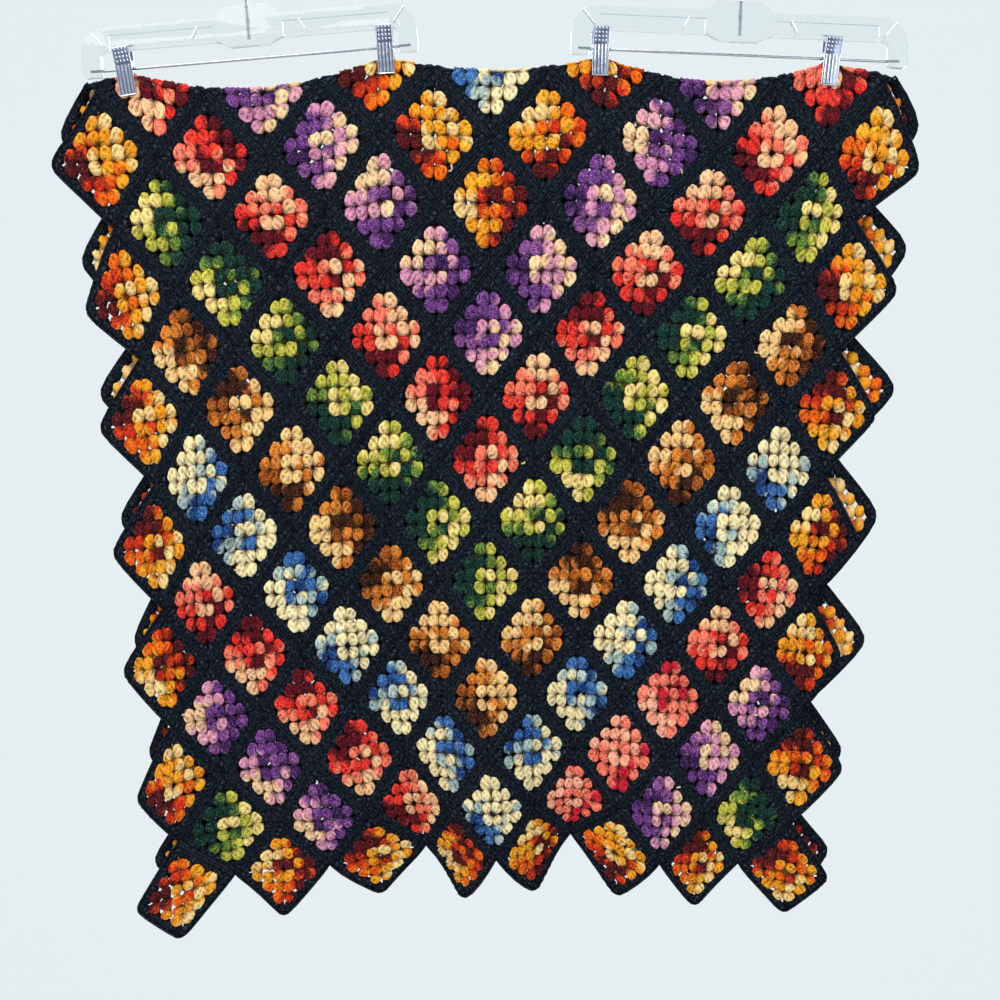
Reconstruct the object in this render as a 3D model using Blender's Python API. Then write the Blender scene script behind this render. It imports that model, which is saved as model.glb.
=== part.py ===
"""Granny square blanket, folded in half and hung by its fold from two clear clip hangers.

The blanket is one sheet of crochet. Its squares stand on their points in a lattice of
columns and rows, half a square's diagonal apart, with a square wherever column + row is
even. The fold runs a little above row 0: the front layer, at -Y, holds rows 0 to 14, and the
back layer, at +Y, holds the rows below 0. Both hang down from the fold, which four sprung
clips grip. The origin lies midway between the bearing points of the two hooks. X runs
across the front, from left to right, and Z points up.

Sizes are in millimetres and become metres as each mesh is made.
"""

import math

import bmesh
import bpy
from mathutils import Matrix, Vector

MM = 0.001

# Blanket: the lattice, the sheet and its fold.
COLUMNS = 7  # the outermost squares' column
ROWS_OF_SQUARES = 13  # the outermost squares' row
CENTRE_SHARE = 0.71  # the coloured centre's share of a square's side
THICKNESS = 5.2  # of the puffed centres
SEAM_THICKNESS = 3.4  # of the joins between squares, and of cloth in a clip
FOLD_ROW, FOLD_BOW = -0.12, -0.0025  # the fold's row at column 0, and its bend per column squared
FOLD_RADIUS = 7.5  # of the middle of the cloth, where nothing grips it
GRIPPED_RADIUS = 2.6  # the same between a clip's jaws
FOLD_REACH = 0.2  # rows on either side of the fold that its bend takes up
FOLD_CUTS = 2  # bend lines on either side of the fold
SAGS = (0.0, 22.8, 12.2, 21.2, 0.0)  # of the fold: left end, three spans between clips, right end
SAG_ROWS = 3.0  # rows over which a sag fades out below the fold
FOLD_ENDS = ((-7.6, -149.5), (7.6, -141.0))  # column and height of the fold's two ends

# How the front layer hangs. Heights are below the origin at column 0. A row's squares stand
# `pitch` apart from `centre`, spread more towards the sides by `spread` per column cubed.
# A row drops towards the sides by `droop` per column squared, and rises to the right by
# `lean` per column.
HANG_COLUMNS = ("row", "height", "pitch", "centre", "droop", "lean", "spread")
HANG = (
    (0, -136.0, 60.2, -1.1, 0.80, 0.2, -0.01),
    (1, -192.5, 59.8, -1.1, 0.72, 0.3, -0.03),
    (3, -339.7, 55.8, -3.5, 0.51, 0.2, -0.02),
    (5, -472.8, 51.9, -5.0, 0.45, 0.8, 0.0),
    (7, -606.3, 50.8, -6.4, 0.42, 0.9, 0.0),
    (9, -728.9, 48.8, -6.4, 0.49, 1.2, 0.0),
    (11, -848.0, 45.2, -3.0, 0.46, 1.1, 0.045),
    (12, -906.0, 43.5, 0.5, 0.52, 1.0, 0.055),
    (13, -953.5, 42.3, 3.5, 0.62, 1.0, 0.06),
    (14, -998.0, 42.3, 3.5, 0.65, 1.1, 0.06),
)
WAVE_DEPTH = 22.0  # how far the hem's middle fold comes forward
WAVE_COLUMNS = 4.0  # from one hem fold to the next
WAVE_FADE = 4.5  # columns over which the hem folds die away sideways
WAVE_ROWS = (5.0, 13.0)  # rows over which the hem folds grow
HEM_DIP = 0.5  # drop of a fold's hem for each mm that it comes forward
HEM_ROWS = (10.5, 13.5)  # rows over which that drop grows
BILLOW = 5.0  # slow unevenness of the whole sheet
BILLOW_PER_COLUMN, BILLOW_PER_ROW = 0.55, 0.35  # radians
BILLOW_ROWS = (1.0, 6.0)  # rows over which it grows
EDGE_CURL = 14.0  # how far the side points turn back
EDGE_NARROWING = 10.0  # how far they draw in
EDGE_COLUMN, EDGE_ROWS = 6.4, (0.5, 2.0)  # where both begin and grow
CORNER_SWING = ((-7, -22.0, -17.0), (7, -2.0, 0.0))  # column of a hem corner, its shift in X and Z
# Small shifts of the cloth: column, row, shift in X and Z. A shift dies away round its place.
NUDGES = {
    "front": (
        (-8, 1, -13, 9), (-8, 3, -4, -9), (-8, 5, -9, 0), (-8, 7, -2, 0), (-8, 9, -6, 4),
        (-8, 11, 1, -14), (-8, 13, -2, 0), (-7, 4, 5, 0), (-7, 6, 9, 0), (-7, 8, 8, 0),
        (-7, 10, 2, 0), (-7, 12, -9, -3), (-7, 14, 6, 5), (-6, 13, -8, 0), (-5, 14, -3, -6),
        (-4, 13, -1, 6), (-3, 14, 8, 8), (-2, 13, 9, -3), (-1, 14, 7, -4), (0, 13, 0, 9),
        (2, 13, -5, 7), (3, 14, 0, -2), (5, 14, -7, -5), (6, 13, -7, 0), (7, 14, -8, 1),
        (8, 1, 2, 0), (7, 2, -9, 4), (8, 3, 10, 8), (7, 4, -3, 0), (8, 5, 9, 0),
        (7, 6, -3, 0), (8, 7, 2, 0), (7, 8, -6, 1), (8, 11, 4, -1), (7, 12, -5, 0),
    ),
    "back": (
        (-8, 3, -8, 7), (-8, 5, -11, 0), (-8, 7, 3, 0), (-8, 9, 5, 0), (-8, 11, 11, 0),
        (-8, 13, -4, 0), (-7, 4, 8, 0), (-7, 6, 11, 0), (-7, 8, 6, 0), (8, 1, -9, 0),
        (7, 2, -4, 0), (8, 3, 12, 19), (7, 4, -8, -8), (8, 5, 14, -2), (7, 6, -10, -9),
        (8, 7, 2, 0), (7, 8, -10, -6), (8, 9, 7, 0), (7, 10, -8, -5), (8, 11, -4, 0),
        (7, 12, -5, -2), (8, 13, -3, 13),
    ),
}
NUDGE_REACH = 1.0
BACK_SWING, BACK_DROP = 24.0, 18.0  # of the back layer's right side, out and down
BACK_COLUMNS, BACK_ROWS = (1.0, 8.0), (4.0, 9.0)  # where the swing and the drop grow

# Hangers: the bar is each hanger's own X axis. Lean is in degrees, right end up.
HANGER_COLUMNS = ("name", "x", "z", "lean")
HANGERS = (
    ("left", -255.5, -115.4, 4.85),
    ("right", 261.3, -111.4, -2.47),
)
BAR_RADIUS, BAR_HALF = 1.5, 170.0
BODY_HALF_DEPTH, WEB_HALF = 4.5, 1.3
# Right half of a hanger body's outline, clockwise from the top of its boss.
BODY_COLUMNS = ("x", "z", "corner_radius")
BODY_OUTLINE = (
    (23.0, 56.0, 4.0),
    (35.0, 45.0, 6.0),
    (178.0, 45.0, 28.0),
    (178.0, -6.0, 4.0),
    (158.0, -6.0, 3.0),
    (158.0, 21.0, 8.0),
    (34.0, 21.0, 6.0),
    (20.0, 14.0, 6.0),
)
CORNER_STEPS = 4
POCKET_X, POCKET_Z = (36.0, 149.0), (25.0, 38.5)  # the thinned web between the two rims
WIRE_RADIUS = 1.7
SHANK_FOOT = 20.0
CROOK_RADIUS, NECK_RADIUS = 19.0, 8.0
BEARING_HEIGHT = 113.4  # of the crook's inside above the bar
CROOK_END = 200.0  # degrees round from the crook's right side
CLEARANCE = 0.4  # round a wire or bar in its hole
ROUND_SIDES = 16

# Clips: each hangs on its hanger's bar, `along` from the middle, with the fold's top edge
# `fold_below` the bar's axis. Lean is the clip's own.
CLIP_COLUMNS = ("name", "hanger", "along", "lean", "fold_below")
CLIPS = (
    ("clip_1", 0, -133.6, 9.8, 7.4),
    ("clip_2", 0, 143.0, 3.7, 13.8),
    ("clip_3", 1, -146.4, -1.8, 12.0),
    ("clip_4", 1, 98.0, -6.8, 7.6),
)
JAW_HALF_WIDTH, JAW_THICKNESS = 8.75, 1.0
JAW_TIP, JAW_BEND, JAW_TOP, JAW_FLARE = -29.7, 3.5, 21.3, 4.0
JAW_GAP = 0.3  # between a jaw and the cloth
EAR_HALF_HEIGHT, EAR_REACH, EAR_HOLE = 4.2, 2.6, 2.7
EAR_STEP = 1.3  # how far the back jaw's ears stand inside the front jaw's
SPRING_HALF, SPRING_RADIUS, SPRING_BORE = 5.6, 3.6, 2.4
LEG_HALF_WIDTH, LEG_THICKNESS = 1.2, 0.8
LEG_ROOT = ((0.9, 0.5), (0.5, 2.0))  # across, in sleeve radii, and up in mm: outside, inside
GRIP_COLUMNS, GRIP_FADE = 0.27, 0.85  # half width of the pinched cloth, and where it is free
GRIP_ROWS, GRIP_ROWS_FADE = 0.5, 1.15
NEAR_CLIP = (1.3, 1.4)  # columns and rows round a clip whose faces are cut finer

JAW_INSIDE = GRIPPED_RADIUS + SEAM_THICKNESS / 2 + JAW_GAP


def material(name, colour, metallic, roughness, alpha=1.0):
    made = bpy.data.materials.new(name)
    made.use_nodes = True
    shader = made.node_tree.nodes["Principled BSDF"]
    shader.inputs["Base Color"].default_value = (*colour, 1.0)
    shader.inputs["Metallic"].default_value = metallic
    shader.inputs["Roughness"].default_value = roughness
    shader.inputs["Alpha"].default_value = alpha
    made.diffuse_color = (*colour, alpha)
    return made


def add_object(name, mesh, finish, parent=None):
    made = bpy.data.objects.new(name, mesh)
    bpy.context.scene.collection.objects.link(made)
    made.parent = parent
    if not mesh.materials:
        mesh.materials.append(finish)
    return made


def add_empty(name, matrix, parent=None):
    made = bpy.data.objects.new(name, None)
    bpy.context.scene.collection.objects.link(made)
    made.parent = parent
    made.matrix_local = matrix
    return made


def as_mesh(name, bm):
    """A mesh in metres, from a bmesh in millimetres."""
    bmesh.ops.scale(bm, vec=(MM, MM, MM), verts=bm.verts)
    bmesh.ops.recalc_face_normals(bm, faces=bm.faces)
    mesh = bpy.data.meshes.new(name)
    bm.to_mesh(mesh)
    bm.free()
    return mesh


def prism(bm, outline, to_point, low, high):
    """A closed prism: the outline at two depths, with to_point giving each corner's place."""
    near = [bm.verts.new(to_point(p, low)) for p in outline]
    far = [bm.verts.new(to_point(p, high)) for p in outline]
    bm.faces.new(near)
    bm.faces.new(far[::-1])
    for k in range(len(outline)):
        after = (k + 1) % len(outline)
        bm.faces.new((near[k], far[k], far[after], near[after]))


def along_x(p, x):
    """A point of a side profile, (y, z), at x."""
    return (x, p[0], p[1])


def along_y(p, y):
    """A point of a front outline, (x, z), at y."""
    return (p[0], y, p[1])


def box(bm, low, high):
    corners = ((low[0], low[1]), (high[0], low[1]), (high[0], high[1]), (low[0], high[1]))
    prism(bm, corners, lambda p, z: (p[0], p[1], z), low[2], high[2])


def rod(bm, radius, start, end, sides=ROUND_SIDES):
    """A closed cylinder between two points."""
    axis = Vector(end) - Vector(start)
    turn = axis.to_track_quat("Z", "Y").to_matrix().to_4x4()
    place = Matrix.Translation((Vector(start) + Vector(end)) / 2) @ turn
    bmesh.ops.create_cone(
        bm,
        cap_ends=True,
        segments=sides,
        radius1=radius,
        radius2=radius,
        depth=axis.length,
        matrix=place,
    )


def combined(name, operation, first, *others):
    """The mesh that Boolean steps leave of the first mesh and the others."""
    whole = bpy.data.objects.new(name, first)
    bpy.context.scene.collection.objects.link(whole)
    tools = []
    for other in others:
        tool = bpy.data.objects.new(other.name, other)
        bpy.context.scene.collection.objects.link(tool)
        step = whole.modifiers.new("step", "BOOLEAN")
        step.operation = operation
        step.object = tool
        tools.append(tool)
    bpy.context.view_layer.update()
    graph = bpy.context.evaluated_depsgraph_get()
    made = bpy.data.meshes.new_from_object(whole.evaluated_get(graph))
    made.name = name
    for used in (whole, *tools):
        bpy.data.objects.remove(used)
    return made


# The blanket.


def smooth(value, low, high):
    """0 up to low, 1 from high, and a soft step between."""
    t = min(max((value - low) / (high - low), 0.0), 1.0)
    return t * t * (3 - 2 * t)


def hang_at(row):
    """The columns of HANG at any row, on a smooth curve through the table's rows."""
    rows = [line[0] for line in HANG]
    row = min(max(row, rows[0]), rows[-1])
    k = min(max(sum(r <= row for r in rows) - 1, 0), len(rows) - 2)
    span = rows[k + 1] - rows[k]
    t = (row - rows[k]) / span
    found = {}
    for column, name in enumerate(HANG_COLUMNS[1:], 1):
        values = [line[column] for line in HANG]

        def slope(at):
            before, after = max(at - 1, 0), min(at + 1, len(rows) - 1)
            return (values[after] - values[before]) / (rows[after] - rows[before])

        a, b = values[k], values[k + 1]
        m, n = slope(k) * span, slope(k + 1) * span
        found[name] = (
            a * (1 + 2 * t) * (1 - t) ** 2
            + m * t * (1 - t) ** 2
            + b * t * t * (3 - 2 * t)
            - n * t * t * (1 - t)
        )
    return found


def on_hanger(hanger, along):
    """The point of a hanger's bar at a distance along it, as (x, z)."""
    _, x, z, lean = HANGERS[hanger]
    turn = math.radians(lean)
    return x + along * math.cos(turn), z + along * math.sin(turn)


def grips():
    """Each clip's column on the fold, and the height of the fold's top edge there."""
    found = []
    for _, hanger, along, lean, fold_below in CLIPS:
        x, z = on_hanger(hanger, along)
        turn = math.radians(lean)
        middle = (fold_below - JAW_TIP) / 2
        at_fold = hang_at(0)
        column = (x + middle * math.sin(turn) - at_fold["centre"]) / at_fold["pitch"]
        found.append((column, z - fold_below * math.cos(turn)))
    return found


GRIPS = grips()


def fold_row(column):
    return FOLD_ROW + FOLD_BOW * column * column


def fold_line(column):
    """The height of a straight line between the two grips beside a column, and the sag under it."""
    stops = [FOLD_ENDS[0], *GRIPS, FOLD_ENDS[1]]
    k = min(max(sum(stop[0] <= column for stop in stops) - 1, 0), len(stops) - 2)
    (start, low), (end, high) = stops[k], stops[k + 1]
    start += GRIP_COLUMNS / 2 if k > 0 else 0
    end -= GRIP_COLUMNS / 2 if k < len(stops) - 2 else 0
    t = min(max((column - start) / (end - start), 0.0), 1.0)
    return low + (high - low) * t, SAGS[k] * 4 * t * (1 - t)


def pinch(column, from_fold):
    """1 where a clip grips the cloth, and 0 where nothing does."""
    beside = min(abs(column - grip[0]) for grip in GRIPS)
    across = 1 - smooth(beside, GRIP_COLUMNS, GRIP_FADE)
    return across * (1 - smooth(abs(from_fold), GRIP_ROWS, GRIP_ROWS_FADE))


def corner_share(column, row, corner):
    """How far a point of a hem corner's square lies from the side that holds it, 0 to 1."""
    outward = (column - corner) * (1 if corner > 0 else -1)
    down = row - ROWS_OF_SQUARES
    inside = abs(outward) + abs(down) <= 1.001
    return max(outward + down + 1, 0.0) / 2 if inside else 0.0


def hung(column, from_fold):
    """The middle of the cloth, in mm, at a column and at so many rows from the fold."""
    reach = abs(from_fold)
    side = -1 if from_fold >= 0 else 1
    row = reach + fold_row(column)
    at = hang_at(row)
    x = at["centre"] + at["pitch"] * column + at["spread"] * column**3
    radius = FOLD_RADIUS - (FOLD_RADIUS - GRIPPED_RADIUS) * pinch(column, from_fold)
    bend = min(reach / FOLD_REACH, 1.0) * math.pi / 2
    y = side * radius * math.sin(bend)

    def height(line):
        return line["height"] - line["droop"] * column**2 + line["lean"] * column

    line, sag = fold_line(column)
    top = line - sag - radius * (1 - math.cos(bend))
    if row < 1:
        straight = (reach - FOLD_REACH) / (1 - fold_row(column) - FOLD_REACH)
        below = height(hang_at(1)) - sag * (1 - 1 / SAG_ROWS)
        z = top + (below - top) * max(straight, 0.0)
    else:
        z = height(at) - sag * max(1 - row / SAG_ROWS, 0.0)

    fold = math.cos(2 * math.pi * column / WAVE_COLUMNS) * math.exp(-((column / WAVE_FADE) ** 2))
    forward = WAVE_DEPTH * fold * smooth(row, *WAVE_ROWS)
    slow = math.sin(BILLOW_PER_COLUMN * column + BILLOW_PER_ROW * row)
    y += BILLOW * slow * smooth(row, *BILLOW_ROWS) - forward
    z -= HEM_DIP * forward * smooth(row, *HEM_ROWS)

    turned = max(abs(column) - EDGE_COLUMN, 0.0) / (COLUMNS + 1 - EDGE_COLUMN)
    y += EDGE_CURL * turned**2 * smooth(row, *EDGE_ROWS)
    x -= math.copysign(EDGE_NARROWING * turned**2, column)
    for corner, shift_x, shift_z in CORNER_SWING:
        share = corner_share(column, row, corner) if side < 0 else 0.0
        x += shift_x * share
        z += shift_z * share
    for at_column, at_row, shift_x, shift_z in NUDGES["front" if side < 0 else "back"]:
        below = abs(from_fold + fold_row(column)) - at_row
        apart = ((column - at_column) ** 2 + below**2) / NUDGE_REACH**2
        share = math.exp(-apart) * smooth(row, 0.0, 1.0)
        x += shift_x * share
        z += shift_z * share
    if side > 0:
        outward = smooth(column, *BACK_COLUMNS)
        down = min(max(row / (ROWS_OF_SQUARES + 1), 0.0), 1.0)
        x += BACK_SWING * outward * math.sin(math.pi * down) ** 2
        z -= BACK_DROP * outward * smooth(row, *BACK_ROWS)
    return Vector((x, y, z))


def thickness_share(column, from_fold):
    """The cloth's thickness as a share of the centres': thinner at seams and in clips."""
    row = from_fold + fold_row(column)
    across = [abs(value - 2 * round(value / 2)) for value in (column + row, column - row)]
    to_seam = max((max(across) - CENTRE_SHARE) / (1 - CENTRE_SHARE), 0.0)
    thin = SEAM_THICKNESS / THICKNESS
    return 1 - (1 - thin) * max(to_seam, pinch(column, from_fold))


def flat_squares(bm):
    """Each square as nine faces, laid out by column and by rows from the fold."""
    steps = (-1.0, -CENTRE_SHARE, CENTRE_SHARE, 1.0)
    for column in range(-COLUMNS, COLUMNS + 1):
        for row in range(-ROWS_OF_SQUARES, ROWS_OF_SQUARES + 1):
            if (column + row) % 2:
                continue
            grid = {}
            for a, u in enumerate(steps):
                for b, v in enumerate(steps):
                    across, down = column + (u - v) / 2, row + (u + v) / 2
                    grid[a, b] = bm.verts.new((across, down - fold_row(across), 0))
            for a in range(len(steps) - 1):
                for b in range(len(steps) - 1):
                    bm.faces.new((grid[a, b], grid[a + 1, b], grid[a + 1, b + 1], grid[a, b + 1]))
    bmesh.ops.remove_doubles(bm, verts=bm.verts, dist=0.001)


def cut(bm, axis, at, near=None):
    """Cuts the laid-out sheet across axis 0 or 1, only where near says so."""
    faces = [f for f in bm.faces if near is None or near(f.calc_center_median())]
    edges = {e for f in faces for e in f.edges}
    verts = {v for f in faces for v in f.verts}
    normal, point = [0, 0, 0], [0, 0, 0]
    normal[axis], point[axis] = 1, at
    bmesh.ops.bisect_plane(
        bm,
        geom=[*verts, *edges, *faces],
        dist=0.02,
        plane_co=point,
        plane_no=normal,
    )


def cut_for_fold_and_clips(bm):
    """Bend lines along the fold, and finer faces where clips pinch the cloth."""
    for k in range(-FOLD_CUTS, FOLD_CUTS + 1):
        cut(bm, 1, k * FOLD_REACH / FOLD_CUTS)
    for column, _ in GRIPS:

        def near(p, column=column):
            return abs(p.x - column) < NEAR_CLIP[0] and abs(p.y) < NEAR_CLIP[1]

        for away in (GRIP_COLUMNS, GRIP_FADE):
            cut(bm, 0, column - away, near)
            cut(bm, 0, column + away, near)
        for rows in (GRIP_ROWS, GRIP_ROWS_FADE):
            cut(bm, 1, -rows, near)
            cut(bm, 1, rows, near)


def make_blanket(yarn):
    bm = bmesh.new()
    flat_squares(bm)
    cut_for_fold_and_clips(bm)
    bmesh.ops.triangulate(bm, faces=bm.faces)
    layer = bm.verts.layers.deform.verify()
    for vert in bm.verts:
        column, from_fold = vert.co.x, vert.co.y
        vert[layer][0] = thickness_share(column, from_fold)
        vert.co = hung(column, from_fold)
    mesh = as_mesh("blanket", bm)
    sheet = add_object("blanket", mesh, yarn)
    sheet.vertex_groups.new(name="thickness")
    walls = sheet.modifiers.new("walls", "SOLIDIFY")
    walls.thickness = THICKNESS * MM
    walls.offset = 0.0
    walls.use_even_offset = True
    walls.vertex_group = "thickness"
    return sheet


# The hangers.


def rounded(corners):
    """An outline with each corner turned into a short arc."""
    points = []
    for k, (x, z, radius) in enumerate(corners):
        here = Vector((x, z))
        before = Vector(corners[k - 1][:2]) - here
        after = Vector(corners[(k + 1) % len(corners)][:2]) - here
        half = before.angle(after) / 2
        back = radius / math.tan(half)
        middle = here + (before.normalized() + after.normalized()).normalized() * (
            radius / math.sin(half)
        )
        start = here + before.normalized() * back - middle
        end = here + after.normalized() * back - middle
        turn = math.atan2(start.x * end.y - start.y * end.x, start.dot(end))
        for step in range(CORNER_STEPS + 1):
            angle = turn * step / CORNER_STEPS
            arm = Vector(
                (
                    start.x * math.cos(angle) - start.y * math.sin(angle),
                    start.x * math.sin(angle) + start.y * math.cos(angle),
                )
            )
            points.append(tuple(middle + arm))
    return points


def hanger_body_mesh():
    """One clear moulding: a rail with two rims and a thin web, a boss and two legs."""
    left = [(-x, z, radius) for x, z, radius in BODY_OUTLINE[::-1]]
    solid = bmesh.new()
    prism(solid, rounded([*BODY_OUTLINE, *left]), along_y, -BODY_HALF_DEPTH, BODY_HALF_DEPTH)
    pockets = bmesh.new()
    for side in (-1, 1):
        for face in (-1, 1):
            xs = sorted(side * x for x in POCKET_X)
            ys = sorted((face * WEB_HALF, face * (BODY_HALF_DEPTH + 1)))
            box(pockets, (xs[0], ys[0], POCKET_Z[0]), (xs[1], ys[1], POCKET_Z[1]))
    holes = bmesh.new()
    end = BAR_HALF + CLEARANCE
    rod(holes, BAR_RADIUS + CLEARANCE, (-end, 0, 0), (end, 0, 0))
    top = max(z for _, z, _ in BODY_OUTLINE) + 1
    rod(holes, WIRE_RADIUS + CLEARANCE, (0, 0, SHANK_FOOT - CLEARANCE), (0, 0, top))
    return combined(
        "hanger_body",
        "DIFFERENCE",
        as_mesh("solid", solid),
        as_mesh("pockets", pockets),
        as_mesh("holes", holes),
    )


def hook_line():
    """The hook wire's middle line in the hanger's plane, from its foot to its tip."""
    centre = BEARING_HEIGHT - CROOK_RADIUS + WIRE_RADIUS
    neck = centre - math.sqrt(CROOK_RADIUS**2 + 2 * CROOK_RADIUS * NECK_RADIUS)
    points = [(0.0, SHANK_FOOT), (0.0, neck)]
    lean = math.asin((centre - neck) / (CROOK_RADIUS + NECK_RADIUS))
    neck_steps, crook_steps = 5, 22
    for step in range(1, neck_steps + 1):
        angle = math.pi - lean * step / neck_steps
        points.append(
            (NECK_RADIUS + NECK_RADIUS * math.cos(angle), neck + NECK_RADIUS * math.sin(angle))
        )
    sweep = lean + math.radians(CROOK_END)
    for step in range(1, crook_steps + 1):
        angle = -lean + sweep * step / crook_steps
        points.append((CROOK_RADIUS * math.cos(angle), centre + CROOK_RADIUS * math.sin(angle)))
    return points


def add_hook(name, finish, parent):
    curve = bpy.data.curves.new(name, "CURVE")
    curve.dimensions = "3D"
    curve.bevel_depth = WIRE_RADIUS * MM
    curve.bevel_resolution = 2
    curve.use_fill_caps = True
    line = hook_line()
    spline = curve.splines.new("POLY")
    spline.points.add(len(line) - 1)
    for point, (x, z) in zip(spline.points, line):
        point.co = (x * MM, 0, z * MM, 1)
    curve.materials.append(finish)
    made = bpy.data.objects.new(name, curve)
    bpy.context.scene.collection.objects.link(made)
    made.parent = parent
    return made


def bar_mesh():
    bm = bmesh.new()
    rod(bm, BAR_RADIUS, (-BAR_HALF, 0, 0), (BAR_HALF, 0, 0))
    return as_mesh("bar", bm)


def jaw_mesh(name, front):
    """A pressed plate that flares out above the bar, with two ears that the bar runs through."""
    face = -1 if front else 1
    inner, outer = face * JAW_INSIDE, face * (JAW_INSIDE + JAW_THICKNESS)
    flare = face * JAW_FLARE
    profile = (
        (inner, JAW_TIP),
        (outer, JAW_TIP),
        (outer, JAW_BEND),
        (outer + flare, JAW_TOP),
        (inner + flare, JAW_TOP),
        (inner, JAW_BEND),
    )
    plate = bmesh.new()
    prism(plate, profile, along_x, -JAW_HALF_WIDTH, JAW_HALF_WIDTH)
    ears = bmesh.new()
    outside = JAW_HALF_WIDTH - (0 if front else EAR_STEP)
    rooted = face * (JAW_INSIDE + JAW_THICKNESS / 2)
    for side in (-1, 1):
        xs = sorted((side * outside, side * (outside - JAW_THICKNESS)))
        ys = sorted((rooted, -face * EAR_REACH))
        box(ears, (xs[0], ys[0], -EAR_HALF_HEIGHT), (xs[1], ys[1], EAR_HALF_HEIGHT))
    whole = combined(name, "UNION", as_mesh("plate", plate), as_mesh("ears", ears))
    hole = bmesh.new()
    rod(hole, EAR_HOLE, (-2 * JAW_HALF_WIDTH, 0, 0), (2 * JAW_HALF_WIDTH, 0, 0))
    return combined(name, "DIFFERENCE", whole, as_mesh("hole", hole))


def spring_mesh():
    """A coil round the bar, drawn as its outer sleeve, with a leg against each jaw."""
    coil = bmesh.new()
    rod(coil, SPRING_RADIUS, (-SPRING_HALF, 0, 0), (SPRING_HALF, 0, 0))
    tip_height = (JAW_BEND + JAW_TOP) / 2
    tip = JAW_INSIDE + JAW_FLARE / 2 - JAW_GAP
    legs = []
    for face in (-1, 1):
        leg = bmesh.new()
        outside, inside = [(face * SPRING_RADIUS * across, up) for across, up in LEG_ROOT]
        top_inside, top_outside = face * (tip - LEG_THICKNESS), face * tip
        profile = (outside, inside, (top_inside, tip_height), (top_outside, tip_height))
        prism(leg, profile, along_x, -LEG_HALF_WIDTH, LEG_HALF_WIDTH)
        legs.append(as_mesh("leg", leg))
    whole = combined("spring", "UNION", as_mesh("coil", coil), *legs)
    bore = bmesh.new()
    rod(bore, SPRING_BORE, (-2 * SPRING_HALF, 0, 0), (2 * SPRING_HALF, 0, 0))
    return combined("spring", "DIFFERENCE", whole, as_mesh("bore", bore))


def placed(x, z, lean):
    """A place in the plane of the hangers, leaning by degrees with its right end up."""
    turn = Matrix.Rotation(-math.radians(lean), 4, "Y")
    return Matrix.Translation((x * MM, 0, z * MM)) @ turn


def make_hangers(clear, steel, chrome):
    body, bar = hanger_body_mesh(), bar_mesh()
    jaws = {"front_jaw": jaw_mesh("front_jaw", True), "back_jaw": jaw_mesh("back_jaw", False)}
    spring = spring_mesh()
    for name, x, z, lean in HANGERS:
        frame = add_empty(f"{name}_hanger", placed(x, z, lean))
        add_object(f"{name}_hanger_body", body, clear, frame)
        add_object(f"{name}_hanger_bar", bar, steel, frame)
        add_hook(f"{name}_hanger_hook", steel, frame)
    for name, hanger, along, lean, _ in CLIPS:
        frame = add_empty(name, placed(*on_hanger(hanger, along), lean))
        for part, mesh in jaws.items():
            add_object(f"{name}_{part}", mesh, chrome, frame)
        add_object(f"{name}_spring", spring, steel, frame)


def main():
    for old in list(bpy.data.objects):
        bpy.data.objects.remove(old)
    yarn = material("crochet_yarn", (0.014, 0.016, 0.024), 0.0, 0.95)
    clear = material("clear_polystyrene", (0.92, 0.96, 0.97), 0.0, 0.08, alpha=0.3)
    steel = material("zinc_plated_steel", (0.62, 0.64, 0.67), 1.0, 0.3)
    chrome = material("chrome_plate", (0.75, 0.77, 0.8), 1.0, 0.15)
    make_blanket(yarn)
    make_hangers(clear, steel, chrome)


main()
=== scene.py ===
"""Granny square blanket hung from two clear clip hangers, stitch by stitch.

The blanket's squares stand on their points in a lattice of columns and rows, half a diagonal
apart, with a square wherever column + row is even. Rows from 0 down to 14 are the front
layer, and negative rows the back layer, with the fold a little above row 0. Inside a square,
u and v run along its sides from -1 to 1, and a treble's lift is its height off the middle of
the cloth, on the right side. Sizes of the hang are in millimetres.
"""

import math

import bmesh
import bpy
import numpy as np
from mathutils import Matrix, Vector


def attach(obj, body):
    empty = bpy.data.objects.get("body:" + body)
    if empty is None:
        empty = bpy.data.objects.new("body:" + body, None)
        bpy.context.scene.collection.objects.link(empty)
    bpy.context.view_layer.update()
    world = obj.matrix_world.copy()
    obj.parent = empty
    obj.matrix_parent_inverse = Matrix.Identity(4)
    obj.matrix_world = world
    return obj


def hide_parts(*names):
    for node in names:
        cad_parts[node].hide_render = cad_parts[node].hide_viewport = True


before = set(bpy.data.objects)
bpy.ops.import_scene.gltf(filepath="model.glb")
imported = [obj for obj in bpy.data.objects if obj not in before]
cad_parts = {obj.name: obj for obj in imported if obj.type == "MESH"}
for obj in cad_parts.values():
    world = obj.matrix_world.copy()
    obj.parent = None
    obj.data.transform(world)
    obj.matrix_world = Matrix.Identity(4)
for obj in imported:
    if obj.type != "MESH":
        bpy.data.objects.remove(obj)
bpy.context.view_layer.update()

MM = 0.001
rng = np.random.default_rng(7)

# ---------------- the hang of the cloth

COLUMNS, ROWS = 7, 13  # of the outermost squares
THICKNESS, SEAM_THICKNESS = 5.2, 3.4  # of the puffed centres and of the joins
FOLD_ROW, FOLD_BOW = -0.12, -0.0025  # the fold's row at column 0, and its bend per column squared
FOLD_RADIUS, GRIPPED_RADIUS = 7.5, 2.6  # of the middle of the cloth, free and in a clip
FOLD_REACH = 0.2  # rows on either side of the fold that its bend takes up
SAGS = np.array((0.0, 22.8, 12.2, 21.2, 0.0))  # left end, three spans between clips, right end
SAG_ROWS = 3.0  # rows over which a sag fades out
FOLD_ENDS = ((-7.6, -149.5), (7.6, -141.0))  # column and height
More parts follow.
